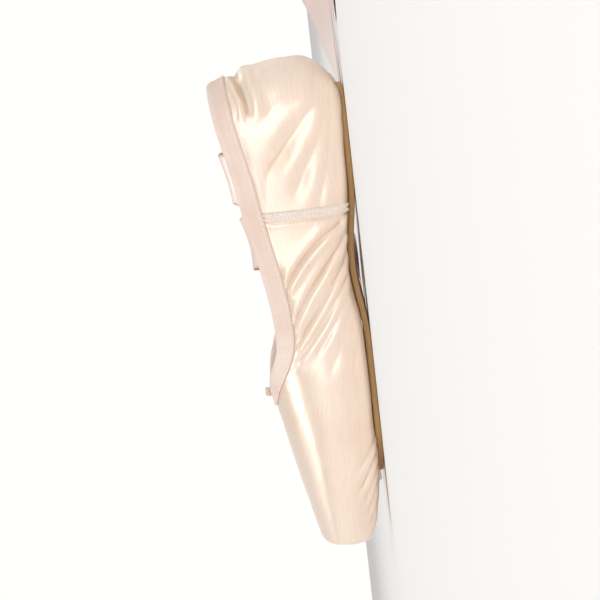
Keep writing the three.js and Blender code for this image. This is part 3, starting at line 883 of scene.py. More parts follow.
class StitchTree(Tree):
    """Geometry Nodes that set stitches along paths which carry a facing direction."""

    SIZES = {"Pitch": "pitch", "Stitch length": "length", "Thread width": "width",
             "Thread height": "height"}

    def __init__(self) -> None:
        """Builds the node group with its named inputs."""
        super().__init__(bpy.data.node_groups.new("stitches", "GeometryNodeTree"))
        inputs = {"Geometry": "Geometry", **dict.fromkeys((*self.SIZES, "Slant"), "Float"),
                  "Thread": "Material"}
        face = self.tree.interface
        for name, kind in inputs.items():
            face.new_socket(name, in_out="INPUT", socket_type="NodeSocket" + kind)
        face.new_socket("Geometry", in_out="OUTPUT", socket_type="NodeSocketGeometry")
        given = self.node("NodeGroupInput").outputs
        curve = self.node("GeometryNodeMeshToCurve", {"Mesh": given["Geometry"]})
        spots = self.node("GeometryNodeCurveToPoints", {
            "Curve": curve.outputs[0], "Length": given["Pitch"]}, mode="LENGTH")
        facing = self.node("GeometryNodeInputNamedAttribute", {"Name": "facing"},
                           data_type="FLOAT_VECTOR")
        up = self.node("FunctionNodeAlignRotationToVector", {"Vector": facing.outputs[0]}, axis="Z")
        along = self.node("FunctionNodeAlignRotationToVector", {
            "Rotation": up.outputs[0], "Vector": spots.outputs["Tangent"],
        }, axis="X", pivot_axis="Z")
        bead = self.node("GeometryNodeMeshUVSphere", {"Segments": 8, "Rings": 5, "Radius": 0.5})
        shaded = self.node("GeometryNodeSetShadeSmooth", {"Geometry": bead.outputs["Mesh"]})
        size = self.node("ShaderNodeCombineXYZ", {
            "X": given["Stitch length"], "Y": given["Thread width"], "Z": given["Thread height"]})
        set_out = self.node("GeometryNodeInstanceOnPoints", {
            "Points": spots.outputs["Points"], "Instance": shaded.outputs[0],
            "Rotation": along.outputs[0], "Scale": size.outputs[0]})
        slant = self.node("ShaderNodeCombineXYZ", {"Z": given["Slant"]})
        turned = self.node("GeometryNodeRotateInstances", {
            "Instances": set_out.outputs[0], "Rotation": slant.outputs[0], "Local Space": True})
        real = self.node("GeometryNodeRealizeInstances", {"Geometry": turned.outputs[0]})
        done = self.node("GeometryNodeSetMaterial", {
            "Geometry": real.outputs[0], "Material": given["Thread"]})
        self.node("NodeGroupOutput", {"Geometry": done.outputs[0]})

    def sew(self, name: str, paths: Sequence[tuple[np.ndarray, np.ndarray]],
            thread: bpy.types.Material, **sizes: float) -> bpy.types.Object:
        """Sews stitches along paths and returns them as a plain mesh.

        Args:
            name: The piece's name.
            paths: Pairs of points (millimetres) and facing directions.
            thread: The thread's material.
            sizes: pitch, length, width, height (millimetres) and slant (radians).

        Returns:
            The stitches.
        """
        points = np.vstack([p for p, _ in paths]) * MM
        facing = np.vstack([f for _, f in paths])
        edges, first = [], 0
        for p, _ in paths:
            edges += [(first + i, first + i + 1) for i in range(len(p) - 1)]
            first += len(p)
        mesh = bpy.data.meshes.new(name)
        mesh.from_pydata(points.tolist(), edges, [])
        mark = mesh.attributes.new("facing", "FLOAT_VECTOR", "POINT")
        mark.data.foreach_set("vector", facing.astype(np.float32).ravel())
        made = linked(name, mesh)
        modifier = made.modifiers.new("stitches", "NODES")
        modifier.node_group = self.tree
        values = {given: sizes[size] * MM for given, size in self.SIZES.items()}
        values.update({"Slant": sizes.get("slant", 0.0), "Thread": thread})
        for item in self.tree.interface.items_tree:
            if item.in_out == "INPUT" and item.name in values:
                modifier[item.identifier] = values[item.name]
        return flatten(made)


def flatten(piece: bpy.types.Object) -> bpy.types.Object:
    """Turns a piece and its modifiers into a plain mesh.

    Args:
        piece: The piece.

    Returns:
        The same piece.
    """
    bpy.context.view_layer.update()
    graph = bpy.context.evaluated_depsgraph_get()
    mesh = bpy.data.meshes.new_from_object(piece.evaluated_get(graph), depsgraph=graph)
    piece.modifiers.clear()
    old = piece.data
    piece.data = mesh
    bpy.data.meshes.remove(old)
    return piece


def joined(name: str, pieces: Sequence[bpy.types.Object]) -> bpy.types.Object:
    """Joins mesh pieces into one.

    Args:
        name: The joined piece's name.
        pieces: Pieces at the origin.

    Returns:
        The joined piece.
    """
    with bpy.context.temp_override(active_object=pieces[0], object=pieces[0],
                                   selected_objects=list(pieces),
                                   selected_editable_objects=list(pieces)):
        bpy.ops.object.join()
    pieces[0].name = pieces[0].data.name = name
    return pieces[0]


# ---- the upper ----

# The satin's folds on one side of the shoe. Points are (at, height) unless they are FREE.
HEEL_FOLDS = (
    Fold(((2.6, 50.5), (9, 48), (17, 45.5), (26, 45.5)), 2.2, 2.1, 0.9, 0.4, (1.0, 0.0)),
    Fold(((9, 53), (17, 50), (26, 50.5)), 1.3, 0.8, 0.5, 0.0, (0.6, 0.0)),
    Fold(((2.5, 41), (12, 37.5), (25, 39)), 3.0, 0.4, 0.4, 0.0, (0.3, 0.0)),
    Fold(((15, 9), (30, 23), (52, 41)), 3.0, 0.65, 0.6, 0.35, (0.8, 0.0)),
    Fold(((20, 7.5), (41, 17), (64, 30)), 2.7, 0.6, 0.55, 0.35, (0.8, 0.0)),
    Fold(((26, 7), (48, 11.5), (70, 18.5)), 2.2, 0.5, 0.5, 0.3, (0.8, 0.3)),
    Fold(((36, 6.5), (54, 8), (70.5, 11)), 1.6, 0.3, 0.3, 0.3, (0.6, 0.3)),
    Fold(((12, 14), (18, 30), (30, 44)), 3.0, 0.3, 0.3, 0.0, (0.4, 0.0)),
    Fold(((40, 33), (52, 39.5), (66, 41)), 3.0, 0.3, 0.3, 0.0, (0.0, 0.0)),
)
WING_FOLDS = (
    Fold(((75, 8.5), (82, 19), (91, 28.5), (102.5, 37.5)), 0.8, 1.1, 0.7, 0.5, (0.9, 0.8),
         crest=3.6),
    Fold(((83, 8), (94, 17.5), (106, 27), (119, 35.5)), 0.7, 0.95, 0.6, 0.5, (0.9, 0.8), crest=3.9),
    Fold(((92, 8), (105, 17), (117, 26), (129, 35)), 0.7, 0.8, 0.55, 0.45, (0.9, 0.7), crest=3.9),
    Fold(((101, 8.5), (114, 17.5), (126, 27), (136, 35.5)), 0.75, 0.65, 0.45, 0.45, (0.8, 0.6),
         crest=3.6),
    Fold(((110, 10), (123, 18), (135, 27)), 1.0, 0.35, 0.3, 0.3, (0.4, 0.0)),
    Fold(((119, 9.5), (132, 15), (145, 22)), 1.8, 0.22, 0.18, 0.2, (0.3, 0.0)),
)
BOX_FOLDS = (
    Fold(((112, 9), (134, 8.5), (158, 9), (180, 10.5)), 2.4, 0.3, 0.22, 0.0, (0.0, 0.0)),
    Fold(((132, 13), (152, 12.5), (172, 15)), 3.2, 0.18, 0.16, 0.0, (0.0, 0.0)),
    Fold(((138, 37), (158, 31), (181, 27)), 5.0, 0.22, 0.1, 0.0, (0.0, 0.0)),
    Fold(((176, 28.5, 5), (184, 32, 8.5), (193, 33.5, 14)), 1.2, 0.55, 0.4, 0.5, (0.8, 0.0),
         Spot.FREE),
    Fold(((182, 26.8, 5), (192, 30, 8.5), (205, 29.5, 15)), 1.2, 0.7, 0.5, 0.5, (0.9, 0.0),
         Spot.FREE),
    Fold(((187, 24.5, 5.1), (199, 27, 8.5), (213, 26, 14)), 1.15, 0.75, 0.5, 0.5, (0.9, 0.0),
         Spot.FREE),
    Fold(((191, 21.5, 5.4), (204, 24, 8.2), (218, 23.5, 12)), 1.1, 0.75, 0.5, 0.5, (0.9, 0.0),
         Spot.FREE),
    Fold(((195, 18, 5.8), (208, 20, 8), (223, 20.5, 10.5)), 1.0, 0.65, 0.4, 0.5, (0.9, 0.1),
         Spot.FREE),
    Fold(((198.5, 13, 6.2), (212, 14.5, 7.8), (227, 16.5, 10)), 1.1, 0.8, 0.4, 0.5, (0.9, 0.5),
         Spot.FREE),
)


@dataclass
class Upper:
    """The satin upper: one wall with its lining, open at the collar and under the sole."""

    last: Last
    pattern: Pattern
    outer_rows: int = 112
    inner_rows: int = 26
    tape_cover: float = 8.0
    middle: float = 3.0
    lining_share: float = 0.75
    lining_most: float = 0.3
    seam_from: float = 4.7
    seam_points: int = 48
    seam_lift: float = 0.2
    right_drift: float = 1.4
    folds: tuple[Fold, ...] = HEEL_FOLDS + WING_FOLDS + BOX_FOLDS
    paths: list = field(default_factory=list)

    def __post_init__(self) -> None:
        """Lays every fold's line on both sides, a little astray on the right."""
        for side in (1, -1):
            for i, fold in enumerate(self.folds):
                moved = self.right_drift * math.cos(2.1 * i) if side < 0 else 0.0
                self.paths.append((fold, side, fold.path(self.last, side, moved)))

    def covered(self, p: np.ndarray) -> np.ndarray:
        """How free each point is of the outsole: 0 where it is covered and 1 outside it."""
        outside = np.maximum.reduce([
            np.abs(p[:, 1]) - self.last.sole_half(p[:, 0]),
            p[:, 0] - self.last.toe_end, self.last.heel_end - p[:, 0],
        ])
        top = self.last.thickness + self.last.gap + self.last.sole_rise(p[:, 0])
        low = smooth((top + 3 - p[:, 2]) / 2)
        return 1 - low * (1 - smooth((outside + 0.5) / 2.5))

    def relief(self, p: np.ndarray, normal: np.ndarray, down: np.ndarray) -> np.ndarray:
        """How far the satin stands off the last.

        Args:
            p: Points of the last's surface.
            normal: Their outward directions.
            down: Their distance below the collar's edge.

        Returns:
            Millimetres along the outward direction.
        """
        x, y, z = p.T
        raised = np.zeros(len(p))
        for fold, side, line in self.paths:
            near = np.nonzero(y * side > -self.middle)[0]
            own = smooth((y[near] * side + self.middle) / (2 * self.middle))
            raised[near] += own * fold.height(p[near], normal[near], line, side)
        # The quarters are slacker than the box.
        loose = 1 - 0.6 * smooth((x - 20) / 40)
        raised += loose * 0.10 * np.sin(x / 5.1 + z / 7.3 + 0.6 * np.sin(y / 9))
        raised += loose * 0.08 * np.sin(x / 3.3 - z / 6.1 + 1.3)
        raised += 0.05 * np.sin(z / 2.7 + x / 11) * np.sin(x / 6.7)
        # The seams at the sides and at the back.
        raised += 0.18 * hump((np.abs(x - SIDE_SEAM) - 1.5) / 1.1)
        raised -= 0.5 * hump((x - SIDE_SEAM) / 0.55)
        back = smooth((HEEL + 26 - x) / 6)
        raised += back * (0.35 * hump((np.abs(y) - 1.15) / 0.6) - 0.3 * hump(y / 0.45))
        # The drawstring's gathers below the tape, at the throat and the heel.
        around = np.arctan2(y, x - (THROAT - 20))
        gather = np.sin(around * 46) + 0.6 * np.sin(around * 29 + 1)
        pulled = smooth((x - 2) / 14) + smooth((HEEL + 22 - x) / 8)
        raised += 0.13 * gather * pulled * hump((down - self.tape_cover) / 5.5)
        raised *= self.covered(p)
        under_tape = smooth((self.tape_cover + 3.0 - down) / 3.8)
        return raised * (1 - under_tape) - 0.15 * under_tape

    def _surface(self, rows: int) -> tuple[np.ndarray, np.ndarray, np.ndarray]:
        """The last's surface in rows, its outward directions and the satin's relief."""
        grid = self.pattern.rows(rows)
        steps = np.linalg.norm(np.diff(grid, axis=1), axis=2)
        run = np.concatenate([np.zeros((len(grid), 1)), np.cumsum(steps, axis=1)], axis=1)
        flat = grid.reshape(-1, 3)
        normal = self.last.outward(flat)
        raised = self.relief(flat, normal, (run[:, -1:] - run).ravel())
        return grid, normal.reshape(grid.shape), raised.reshape(run.shape)

    def build(self) -> None:
        """Builds the wall, with the satin outside and the lining inside."""
        outer, normal, raised = self._surface(self.outer_rows)
        shown = outer + normal * raised[..., None]
        base, inward, sunk = self._surface(self.inner_rows)
        sunk = self.lining_share * np.minimum(sunk, self.lining_most)
        inner = base + inward * (sunk - self.last.wall(base[..., 0]))[..., None]
        rings = np.concatenate([shown, inner[:, ::-1]], axis=1)
        middle = outer[:, self.outer_rows // 2]
        run = run_length(np.vstack([middle, middle[:1]])) / 100
        heights = np.concatenate([
            np.linspace(0, 1, self.outer_rows), np.linspace(1, 0, self.inner_rows), [0],
        ])
        # The fold mark: how deep each outer point lies in a fold's trough, which the satin paints
        # as shade.
        fold = np.zeros(rings.shape[:2])
        fold[:, :self.outer_rows] = np.clip((-raised - 0.12) / 0.6, 0, 1)
        made = solid("upper_satin", rings, True, (run, heights), {"fold": fold})
        dress(made, "satin", SATIN.material(), LINING.material())
        row = np.arange(len(made.data.polygons)) % rings.shape[1]
        inside = (row >= self.outer_rows - 1).astype(np.int32)
        made.data.polygons.foreach_set("material_index", inside)
        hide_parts("upper")

    def seam_line(self, side: int, forward: float) -> tuple[np.ndarray, np.ndarray]:
        """A line on the satin beside the side seam, from the sole up to the binding.

        Args:
            side: 1 for the left, -1 for the right.
            forward: Millimetres from the seam towards the toe.

        Returns:
            Its points and their outward directions.
        """
        at = SIDE_SEAM - HEEL + forward
        top = float(self.last.topline(at)) - self.tape_cover - 0.3
        heights = np.linspace(self.seam_from, top, self.seam_points)
        line = np.array([self.last.on_side(at, z, side) for z in heights])
        normal = self.last.outward(line)
        return line + normal * self.seam_lift, normal


@dataclass
class SideSeams:
    """The herringbone tape that closes each side seam."""

    upper: Upper
    stitches: StitchTree
    tape_width: float = 4.4
    tape_height: float = 0.35
    offset: float = -3.0
    rows: tuple[float, float] = (-1.05, 1.05)
    slant: float = 0.72
    sunk: float = 0.3

    def build(self) -> None:
        """Builds both tapes and the thread on them."""
        thread = PALE_THREAD.material()
        tape_material = SEAM_TAPE.material()
        for side, name in ((1, "left"), (-1, "right")):
            self._tape(side, name, tape_material)
            rows = []
            for place in self.rows:
                line, normal = self.upper.seam_line(side, self.offset + place)
                lifted = line + normal * (self.tape_height + 0.05)
                slant = -math.copysign(self.slant, place) * side
                rows.append(self.stitches.sew(
                    f"row_{name}_{place}", [(lifted, normal)], thread,
                    pitch=1.7, length=2.7, width=0.85, height=0.7, slant=slant,
                ))
            made = joined(f"side_seam_stitches_{name}", rows)
            dress(made, "binding", thread)

    def _tape(self, side: int, name: str, material: bpy.types.Material) -> None:
        """Builds one flat tape."""
        across = np.linspace(-0.5, 0.5, 7) * self.tape_width
        lines = [self.upper.seam_line(side, self.offset + a) for a in across]
        top = np.array([p + n * self.tape_height * (1 - (2 * a / self.tape_width) ** 6)
                        for (p, n), a in zip(lines, across)])
        low = np.array([p - n * self.sunk for p, n in lines])
        made = solid(f"side_seam_tape_{name}", np.concatenate([top, low[::-1]]).transpose(1, 0, 2))
        dress(made, "binding", material)


@dataclass
class Binding:
    """The cotton tape folded over the collar's edge, gathered a little by its drawstring."""

    last: Last
    pattern: Pattern
    stitches: StitchTree
    outer_leg: float = 8.0
    inner_leg: float = 6.0
    thickness: float = 0.75
    stitch_inset: float = 1.5

    def pucker(self, run: np.ndarray, down: float) -> np.ndarray:
        """Small gathers along the tape, stronger towards its lower edge."""
        x = self.pattern.below(0.01)[:, 0]
        tight = 0.5 + 0.6 * smooth((x - 5) / 20) + 0.5 * smooth((HEEL + 30 - x) / 15)
        waves = np.sin(run / 0.83 + 0.9 * np.sin(run / 7)) + 0.7 * np.sin(run / 1.31 + 2)
        waves += 0.6 * np.sin(run / 2.7 + 1)
        return 0.085 * tight * waves * (0.35 + 0.65 * min(1.0, abs(down) / 6))

    def build(self) -> None:
        """Builds the tape and its row of stitches."""
        collar = self.pattern.below(0.01)
        up = unit(collar - self.pattern.below(1.0))
        run = run_length(collar)
        wall = self.last.wall(collar[:, 0])
        ring = []

        def leg(down: float, off: np.ndarray) -> np.ndarray:
            """The points at a distance down from the edge, moved outwards."""
            point = self.pattern.below(max(down, 0.01))
            return point + self.last.outward(point) * np.asarray(off)[..., None]

        normal = self.last.outward(collar)
        shown = self.thickness + 0.25
        for down in np.linspace(self.outer_leg, 0, 15):
            inset = self.outer_leg - down
            off = shown * (1 - 0.35 * hump(inset / 0.35)) + 0.22 * hump((inset - 0.9) / 0.7)
            off -= 0.26 * hump((inset - self.stitch_inset) / 0.35)
            off += 0.35 * hump((down - 1.2) / 1.3)
            ring.append(leg(down, off + self.pucker(run, down)))
        for angle in np.linspace(0, np.pi, 9)[1:-1]:
            across = -wall / 2 + (wall / 2 + shown + 0.15) * np.cos(angle)
            lift = 0.35 + 1.05 * np.sin(angle) + 0.3 * self.pucker(run, 2)
            ring.append(collar + normal * across[:, None] + up * np.asarray(lift)[:, None])
        for down in np.linspace(0, self.inner_leg, 9):
            ring.append(leg(down, -(wall + shown) - 0.6 * self.pucker(run + 1.1, down)))
        for down in np.linspace(self.inner_leg, 0, 5):
            ring.append(leg(down, -(wall + 0.12)))
        ring += [collar - normal * wall[:, None] + up * 0.15, collar + up * 0.15]
        for down in np.linspace(0, self.outer_leg, 6):
            ring.append(leg(down, np.full(len(wall), 0.06)))
        made = solid("binding_tape", np.array(ring).transpose(1, 0, 2), True)
        dress(made, "binding", TAPE.material())
        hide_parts("collar_binding")

        thread = PALE_THREAD.material()
        inset = self.outer_leg - self.stitch_inset
        line = leg(inset, shown - 0.12 + self.pucker(run, inset))
        facing = self.last.outward(line)
        loop = np.vstack([line, line[:1]]), np.vstack([facing, facing[:1]])
        sewn = self.stitches.sew("binding_stitches", [loop], thread,
                                 pitch=2.4, length=1.8, width=0.55, height=0.45)
        dress(sewn, "binding", thread)


# ---- the sole ----


@dataclass
class Outsole:
    """The leather outsole with its pressed pattern and its rows of stitching."""

    last: Last
    stitches: StitchTree
    stations: int = 400
    under_points: int = 92
    top_points: int = 9
    crowding: float = 0.35
    end_gap: float = 0.12
    bevel: float = 0.9
    press_depth: float = 0.32
    channel_depth: float = 0.4
    inset: float = 3.0
    second_inset: float = 5.6
    second_from: float = HEEL + 101
    lattice_from: float = 95.0
    lattice_to: float = 190.0
    diamond: tuple[float, float] = (9.6, 6.2)
    ring_at: float = 36.0
    ring_radius: float = 9.5
    inner_radius: float = 4.2
    rays: int = 8
    line_width: float = 0.42
    lozenges: tuple[float, ...] = (56.0, 64.5, 73.0)

    def pressed(self, x: np.ndarray, y: np.ndarray) -> np.ndarray:
        """How deep the pressed pattern is at a point of the underside, from 0 to 1."""
        at = x - HEEL
        long, wide = self.diamond
        inside = smooth((self.last.sole_half(x) - np.abs(y) - self.second_inset - 1.2) / 0.8)
        inside *= smooth((at - self.lattice_from) / 1.5) * smooth((self.lattice_to - at) / 1.5)
        lines = np.zeros_like(x)
        for sign in (1, -1):
            phase = at / long + sign * y / wide
            off = np.abs(phase - np.round(phase)) / math.hypot(1 / long, 1 / wide)
            lines = np.maximum(lines, hump(off / self.line_width))
        across = at - self.ring_at
        radius = np.hypot(across, y)
        swing = np.sin(np.arctan2(y, across) * self.rays) * radius / self.rays
        rays = hump(swing / self.line_width)
        rays *= smooth((radius - 5) / 0.4) * smooth((self.ring_radius - 1.3 - radius) / 0.4)
        marks = [lines * inside, rays]
        marks += [hump((radius - r) / 0.45) for r in (self.ring_radius, self.inner_radius)]
        for place in self.lozenges:
            away = np.abs(at - place) / 2.6 + np.abs(y) / 1.9
            marks.append(hump((away - 1) / 0.28))
        return np.maximum.reduce(marks)

    def channel(self, x: np.ndarray, y: np.ndarray) -> np.ndarray:
        """How deep the channels under the stitches are, from 0 to 1."""
        first, second = (
            hump(self.margin(x, y, inset) / 0.55) for inset in (self.inset, self.second_inset)
        )
        return np.maximum(first, second * smooth((x - self.second_from + 1) / 3))

    def margin(self, x: np.ndarray, y: np.ndarray, inset: float) -> np.ndarray:
        """Roughly how far a point is from the line at an inset from the edge."""
        half = self.last.sole_half(x, inset)
        slope = (self.last.sole_half(x + 0.4, inset) - self.last.sole_half(x - 0.4, inset)) / 0.8
        return (np.abs(y) - half) / np.hypot(1, np.clip(slope, -8, 8))

    def build(self) -> None:
        """Builds the leather and its stitches."""
        rear, front = self.last.heel_end + self.end_gap, self.last.toe_end - self.end_gap
        even = np.linspace(0, 1, self.stations)
        t = (1 - self.crowding) * even + self.crowding * eased(self.stations)
        extra = np.geomspace(0.05, 0.5, 8)
        stations = rear + t * (front - rear)
        x = np.unique(np.concatenate([[rear, front], stations[1:-1], rear + extra, front - extra]))
        half = self.last.sole_half(x)
        low = self.last.sole_rise(x)
        high = low + self.last.thickness
        cut = np.minimum(self.bevel, half / 3)
        flat = half - cut
        rows, rims = [], []

        def point(y: np.ndarray, z: np.ndarray, rim: float = 1.0) -> None:
            """Adds a point to every ring."""
            rows.append(np.stack([x, y, z], -1))
            rims.append(np.full(len(x), rim))

        def corner(sign: int, angles: np.ndarray, top: bool) -> None:
            """Adds a rounded edge to every ring."""
            for angle in angles:
                drop = cut - cut * np.cos(angle)
                point(sign * (flat + cut * np.sin(angle)), high - drop if top else low + drop)

        for s in np.linspace(-1, 1, self.under_points):
            y = s * flat
            sunk = self.press_depth * self.pressed(x, y) + self.channel_depth * self.channel(x, y)
            point(y, low + sunk * smooth((flat - np.abs(y)) / 0.6), 0.0)
        turn = np.linspace(0, np.pi / 2, 5)[1:]
        corner(1, turn, False)
        point(half, (low + high) / 2)
        corner(1, turn[::-1], True)
        for s in np.linspace(1, -1, self.top_points):
            point(s * flat, high, 0.6)
        corner(-1, turn, True)
        point(-half, (low + high) / 2)
        corner(-1, turn[:0:-1], False)
        rings, rim = np.array(rows).transpose(1, 0, 2), np.array(rims).T
        if rings.shape[1] % 2:
            raise ValueError("the outsole's ring needs an even number of points")
        place = rings[..., 0], rings[..., 1]
        press = np.maximum(self.pressed(*place), 0.5 * self.channel(*place)) * (1 - rim)
        made = solid("outsole_leather", rings, marks={"press": press, "rim": rim})
        dress(made, "sole_leather", LeatherFinish().material())
        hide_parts("outsole")
        self._stitch()

    def _stitch(self) -> None:
        """Sews the row round the sole and the second row round the forefoot."""
        paths = []
        for inset, start in ((self.inset, HEEL), (self.second_inset, self.second_from)):
            heel_end, toe_end = self.last.heel_end + inset, self.last.toe_end - inset
            x = heel_end + eased(260) * (toe_end - heel_end)
            x = x[x > start]
            left = np.stack([x, self.last.sole_half(x, inset), self.last.sole_rise(x) + 0.3], -1)
            line = np.vstack([left, left[-2::-1] * (1, -1, 1)])
            paths.append((line, np.tile([0.0, 0.0, -1.0], (len(line), 1))))
        thread = CREAM_THREAD.material()
        sewn = self.stitches.sew("outsole_stitches", paths, thread,
                                 pitch=3.1, length=2.5, width=0.8, height=0.6)
        dress(sewn, "binding", thread)


@dataclass
class SockLining:
    """The canvas sock that lies inside, on the turned-in edge of the upper."""

    crown: float = 0.25
    across: int = 21
    stations: int = 170

    def build(self) -> None:
        """Builds the sock in the place of its solid."""
        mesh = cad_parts["insole"].data
        co = np.array([v.co for v in mesh.vertices]) / MM
        stations = np.unique(np.round(co[:, 0], 2))
        sizes = []
        for x in stations:
            ring = co[np.abs(co[:, 0] - x) < 0.02]
            sizes.append((np.abs(ring[:, 1]).max(), ring[:, 2].min(), ring[:, 2].max()))
        x = stations[0] + eased(self.stations) * (stations[-1] - stations[0])
        half, low, high = sample(np.array(sizes), stations, x).T
        s = np.linspace(-1, 1, self.across)
        rows = []
        for a in s:
            top = high - 0.35 + self.crown * (1 - a * a) - 0.5 * abs(a) ** 14
            rows.append(np.stack([x, a * half, top], -1))
        for a in s[::-1]:
            rows.append(np.stack([x, a * half, low + 0.25 * abs(a) ** 10], -1))
        made = solid("sock_lining", np.array(rows).transpose(1, 0, 2))
        dress(made, "sock", SOCK.material())
        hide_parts("insole")


# ---- the drawstring and the ribbons ----


@dataclass
class Drawstring:
    """The elastic drawstring, tied in a small knot over the front of the throat."""

    last: Last
    pattern: Pattern
    radius: float = 0.72
    sides: int = 12
    knot: float = 1.3
    tape_top: float = 1.3
    down: float = 1.6
    tail: float = 8.0

    def on_tape(self, y: float, down: float) -> np.ndarray:
        """The cord's centre where it rests on the binding.

        Args:
            y: Millimetres to the left of the throat's middle.
            down: Millimetres below the collar's edge.

        Returns:
            A point.
        """
        collar = self.pattern.below(down)
        collar = collar[collar[:, 0] > THROAT - 15]
        line = collar + self.last.outward(collar) * (self.tape_top + self.radius)
        line = line[np.argsort(line[:, 1])]
        return sample(line, line[:, 1], y)

    def build(self) -> None:
        """Builds the knot and its two tails, which lie along the binding, as one tube."""
        centre = self.on_tape(0.0, self.down) + np.array([0.0, 0.0, 0.35 * self.knot])
        a = np.linspace(0, 2 * np.pi, 60, endpoint=False) + 0.35
        trefoil = np.stack([
            (np.sin(a) + 2 * np.sin(2 * a)), (np.cos(a) - 2 * np.cos(2 * a)), -np.sin(3 * a),
        ], -1) * self.knot * (0.42, 0.56, 0.62)
        tails = ((1.0, 3.4), (0.8, 2.3), (0.55, 1.8))
        lead_in = np.array([self.on_tape(-y * self.tail, down) for y, down in tails])
        lead_out = np.array([self.on_tape(y * self.tail, 0.8 * down) for y, down in tails[::-1]])
        line = catmull(np.vstack([lead_in, (centre + trefoil[2:-4])[::2], lead_out]), 6)
        made = tube("drawstring", line, self.radius, self.sides)
        dress(made, "binding", ThreadFinish("drawstring_cord", (0.88, 0.72, 0.65),
                                            (0.70, 0.50, 0.42), 0.7).material())
        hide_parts("drawstring_knot")


def tube(name: str, line: np.ndarray, radius: float, sides: int) -> bpy.types.Object:
    """A round closed tube along a line, with rounded ends.

    Args:
        name: The piece's name.
        line: Points in millimetres.
        radius: The tube's radius.
        sides: Points round it.

    Returns:
        The tube.
    """
    along = unit(np.gradient(line, axis=0))
    side = np.cross(along[0], (0.0, 0.0, 1.0))
    frames = []
    for direction in along:
        side = unit(side - direction * (side @ direction))
        frames.append((side, np.cross(direction, side)))
    angle = np.linspace(0, 2 * np.pi, sides, endpoint=False)
    run = np.arange(len(line))
    ends = np.minimum(run, len(line) - 1 - run)
    size = radius * np.sqrt(np.clip((ends + 0.4) / 2.5, 0.05, 1))
    rings = np.array([
        p + r * (np.cos(angle)[:, None] * u + np.sin(angle)[:, None] * v)
        for p, r, (u, v) in zip(line, size, frames)
    ])
    return solid(name, rings)


class Side(Enum):
    """Which quarter a ribbon is sewn to."""

    LEFT = "left"
    RIGHT = "right"


# x, y, z and the direction of the ribbon's width, from where it is sewn inside the quarter
LEFT_ROUTE = np.array([
    [-57, 22.2, 27, 1, 0.06, 0], [-57, 22.2, 37, 1, 0.06, 0], [-56.5, 21.5, 44, 1, 0.06, 0],
    [-55.2, 18.6, 47.7, 1, 0.08, 0], [-52, 12.4, 46.9, 1, 0.2, 0], [-44, 0.5, 44.4, 1, 0.3, -0.02],
    [-35, -12, 46.2, 1, 0.25, -0.1], [-28.6, -21, 50, 1, 0.1, -0.17],
    [-25.4, -27.8, 52.3, 1, 0.02, -0.19], [-23.6, -33.7, 46, 1, -0.06, -0.2],
    [-22, -35.4, 36.5, 1, -0.08, -0.18], [-19.8, -37.2, 24, 1, -0.1, -0.15],
    [-16.6, -42, 10, 1, 0.25, -0.12], [-11, -51, 2.6, 1, 0.6, -0.03], [-2, -62.5, 1.3, 1, 0.9, 0],
    [13, -74, 1.3, 0.7, 1.2, 0], [35, -80, 2.4, 0, 1.3, 0.12], [57, -76.5, 3.4, -0.25, 1.3, 0.24],
    [79, -71.5, 2.6, -0.1, 1.3, 0.15], [101, -74.5, 5.6, 0.35, 1.2, 0.5],
    [118, -88, 10.2, 0.8, 0.6, 1.1], [122, -109, 12.2, 0.6, -0.15, 1.4],
    [110, -128, 11, 0.5, -0.7, 1.2], [88, -138, 6.4, 0.25, -1.2, 0.6],
    [64, -138, 2, -0.05, -1.3, 0.08], [40, -132, 1.2, -0.3, -1.3, 0],
])
RIGHT_ROUTE = np.array([
    [-57, -22.2, 27, 1, -0.06, 0], [-57, -22.3, 40, 1, -0.06, 0],
    [-57.1, -21.7, 50, 1, -0.06, -0.08],
    [-57.5, -21.7, 55.4, 1, -0.06, -0.17], [-58, -26, 59.4, 1, 0, -0.2],
    [-58.6, -30.4, 55.4, 1, -0.05, -0.19], [-59.4, -31.7, 49, 1, -0.06, -0.19],
    [-61.4, -32, 38, 1, -0.06, -0.2], [-64, -34, 23, 1, -0.05, -0.2],
    [-67.5, -39.5, 9, 1, -0.15, -0.15], [-73, -51, 2, 1, -0.3, -0.02], [-82, -75, 1.2, 1, -0.45, 0],
    [-98, -97, 1.6, 0.9, -0.9, 0.05], [-121, -109, 5.4, 0.3, -1.2, 0.5],
    [-144, -105, 10.4, -0.4, -0.8, 1.1], [-159, -87, 11.7, -0.65, -0.35, 1.3],
    [-162, -63, 10.4, -0.9, 0.1, 1.1], [-156, -40, 5.8, -1.2, 0.35, 0.5],
    [-147, -17, 2, -1.2, 0.4, 0.1], [-142, 7, 1.3, -1.2, 0.1, 0], [-146, 31, 1.4, -1.2, -0.4, 0],
    [-160, 51, 1.8, -1, -0.9, 0.04], [-181, 62, 1.3, -0.5, -1.2, 0],
])


def centripetal(points: np.ndarray, t: np.ndarray) -> np.ndarray:
    """The centripetal Catmull-Rom curve through points, as the part's own routes use it.

    Args:
        points: The points that it passes.
        t: Places from 0 to 1, even in points.

    Returns:
        The curve's points.
    """
    place = t * (len(points) - 1)
    i = np.minimum(place.astype(int), len(points) - 2)
    w = (place - i)[:, None]
    ends = extended(points)
    a, b, c, d = (ends[i + k] for k in range(4))
    before, here, after = (
        np.maximum(np.linalg.norm(q - p, axis=1, keepdims=True), 1e-4) ** 0.5
        for p, q in ((a, b), (b, c), (c, d))
    )
    start = ((b - a) / before - (c - a) / (before + here) + (c - b) / here) * here
    finish = ((c - b) / here - (d - b) / (here + after) + (d - c) / after) * here
    rise = c - b
    bend = (3 * rise - 2 * start - finish) * w**2
    return b + start * w + bend + (start + finish - 2 * rise) * w**3


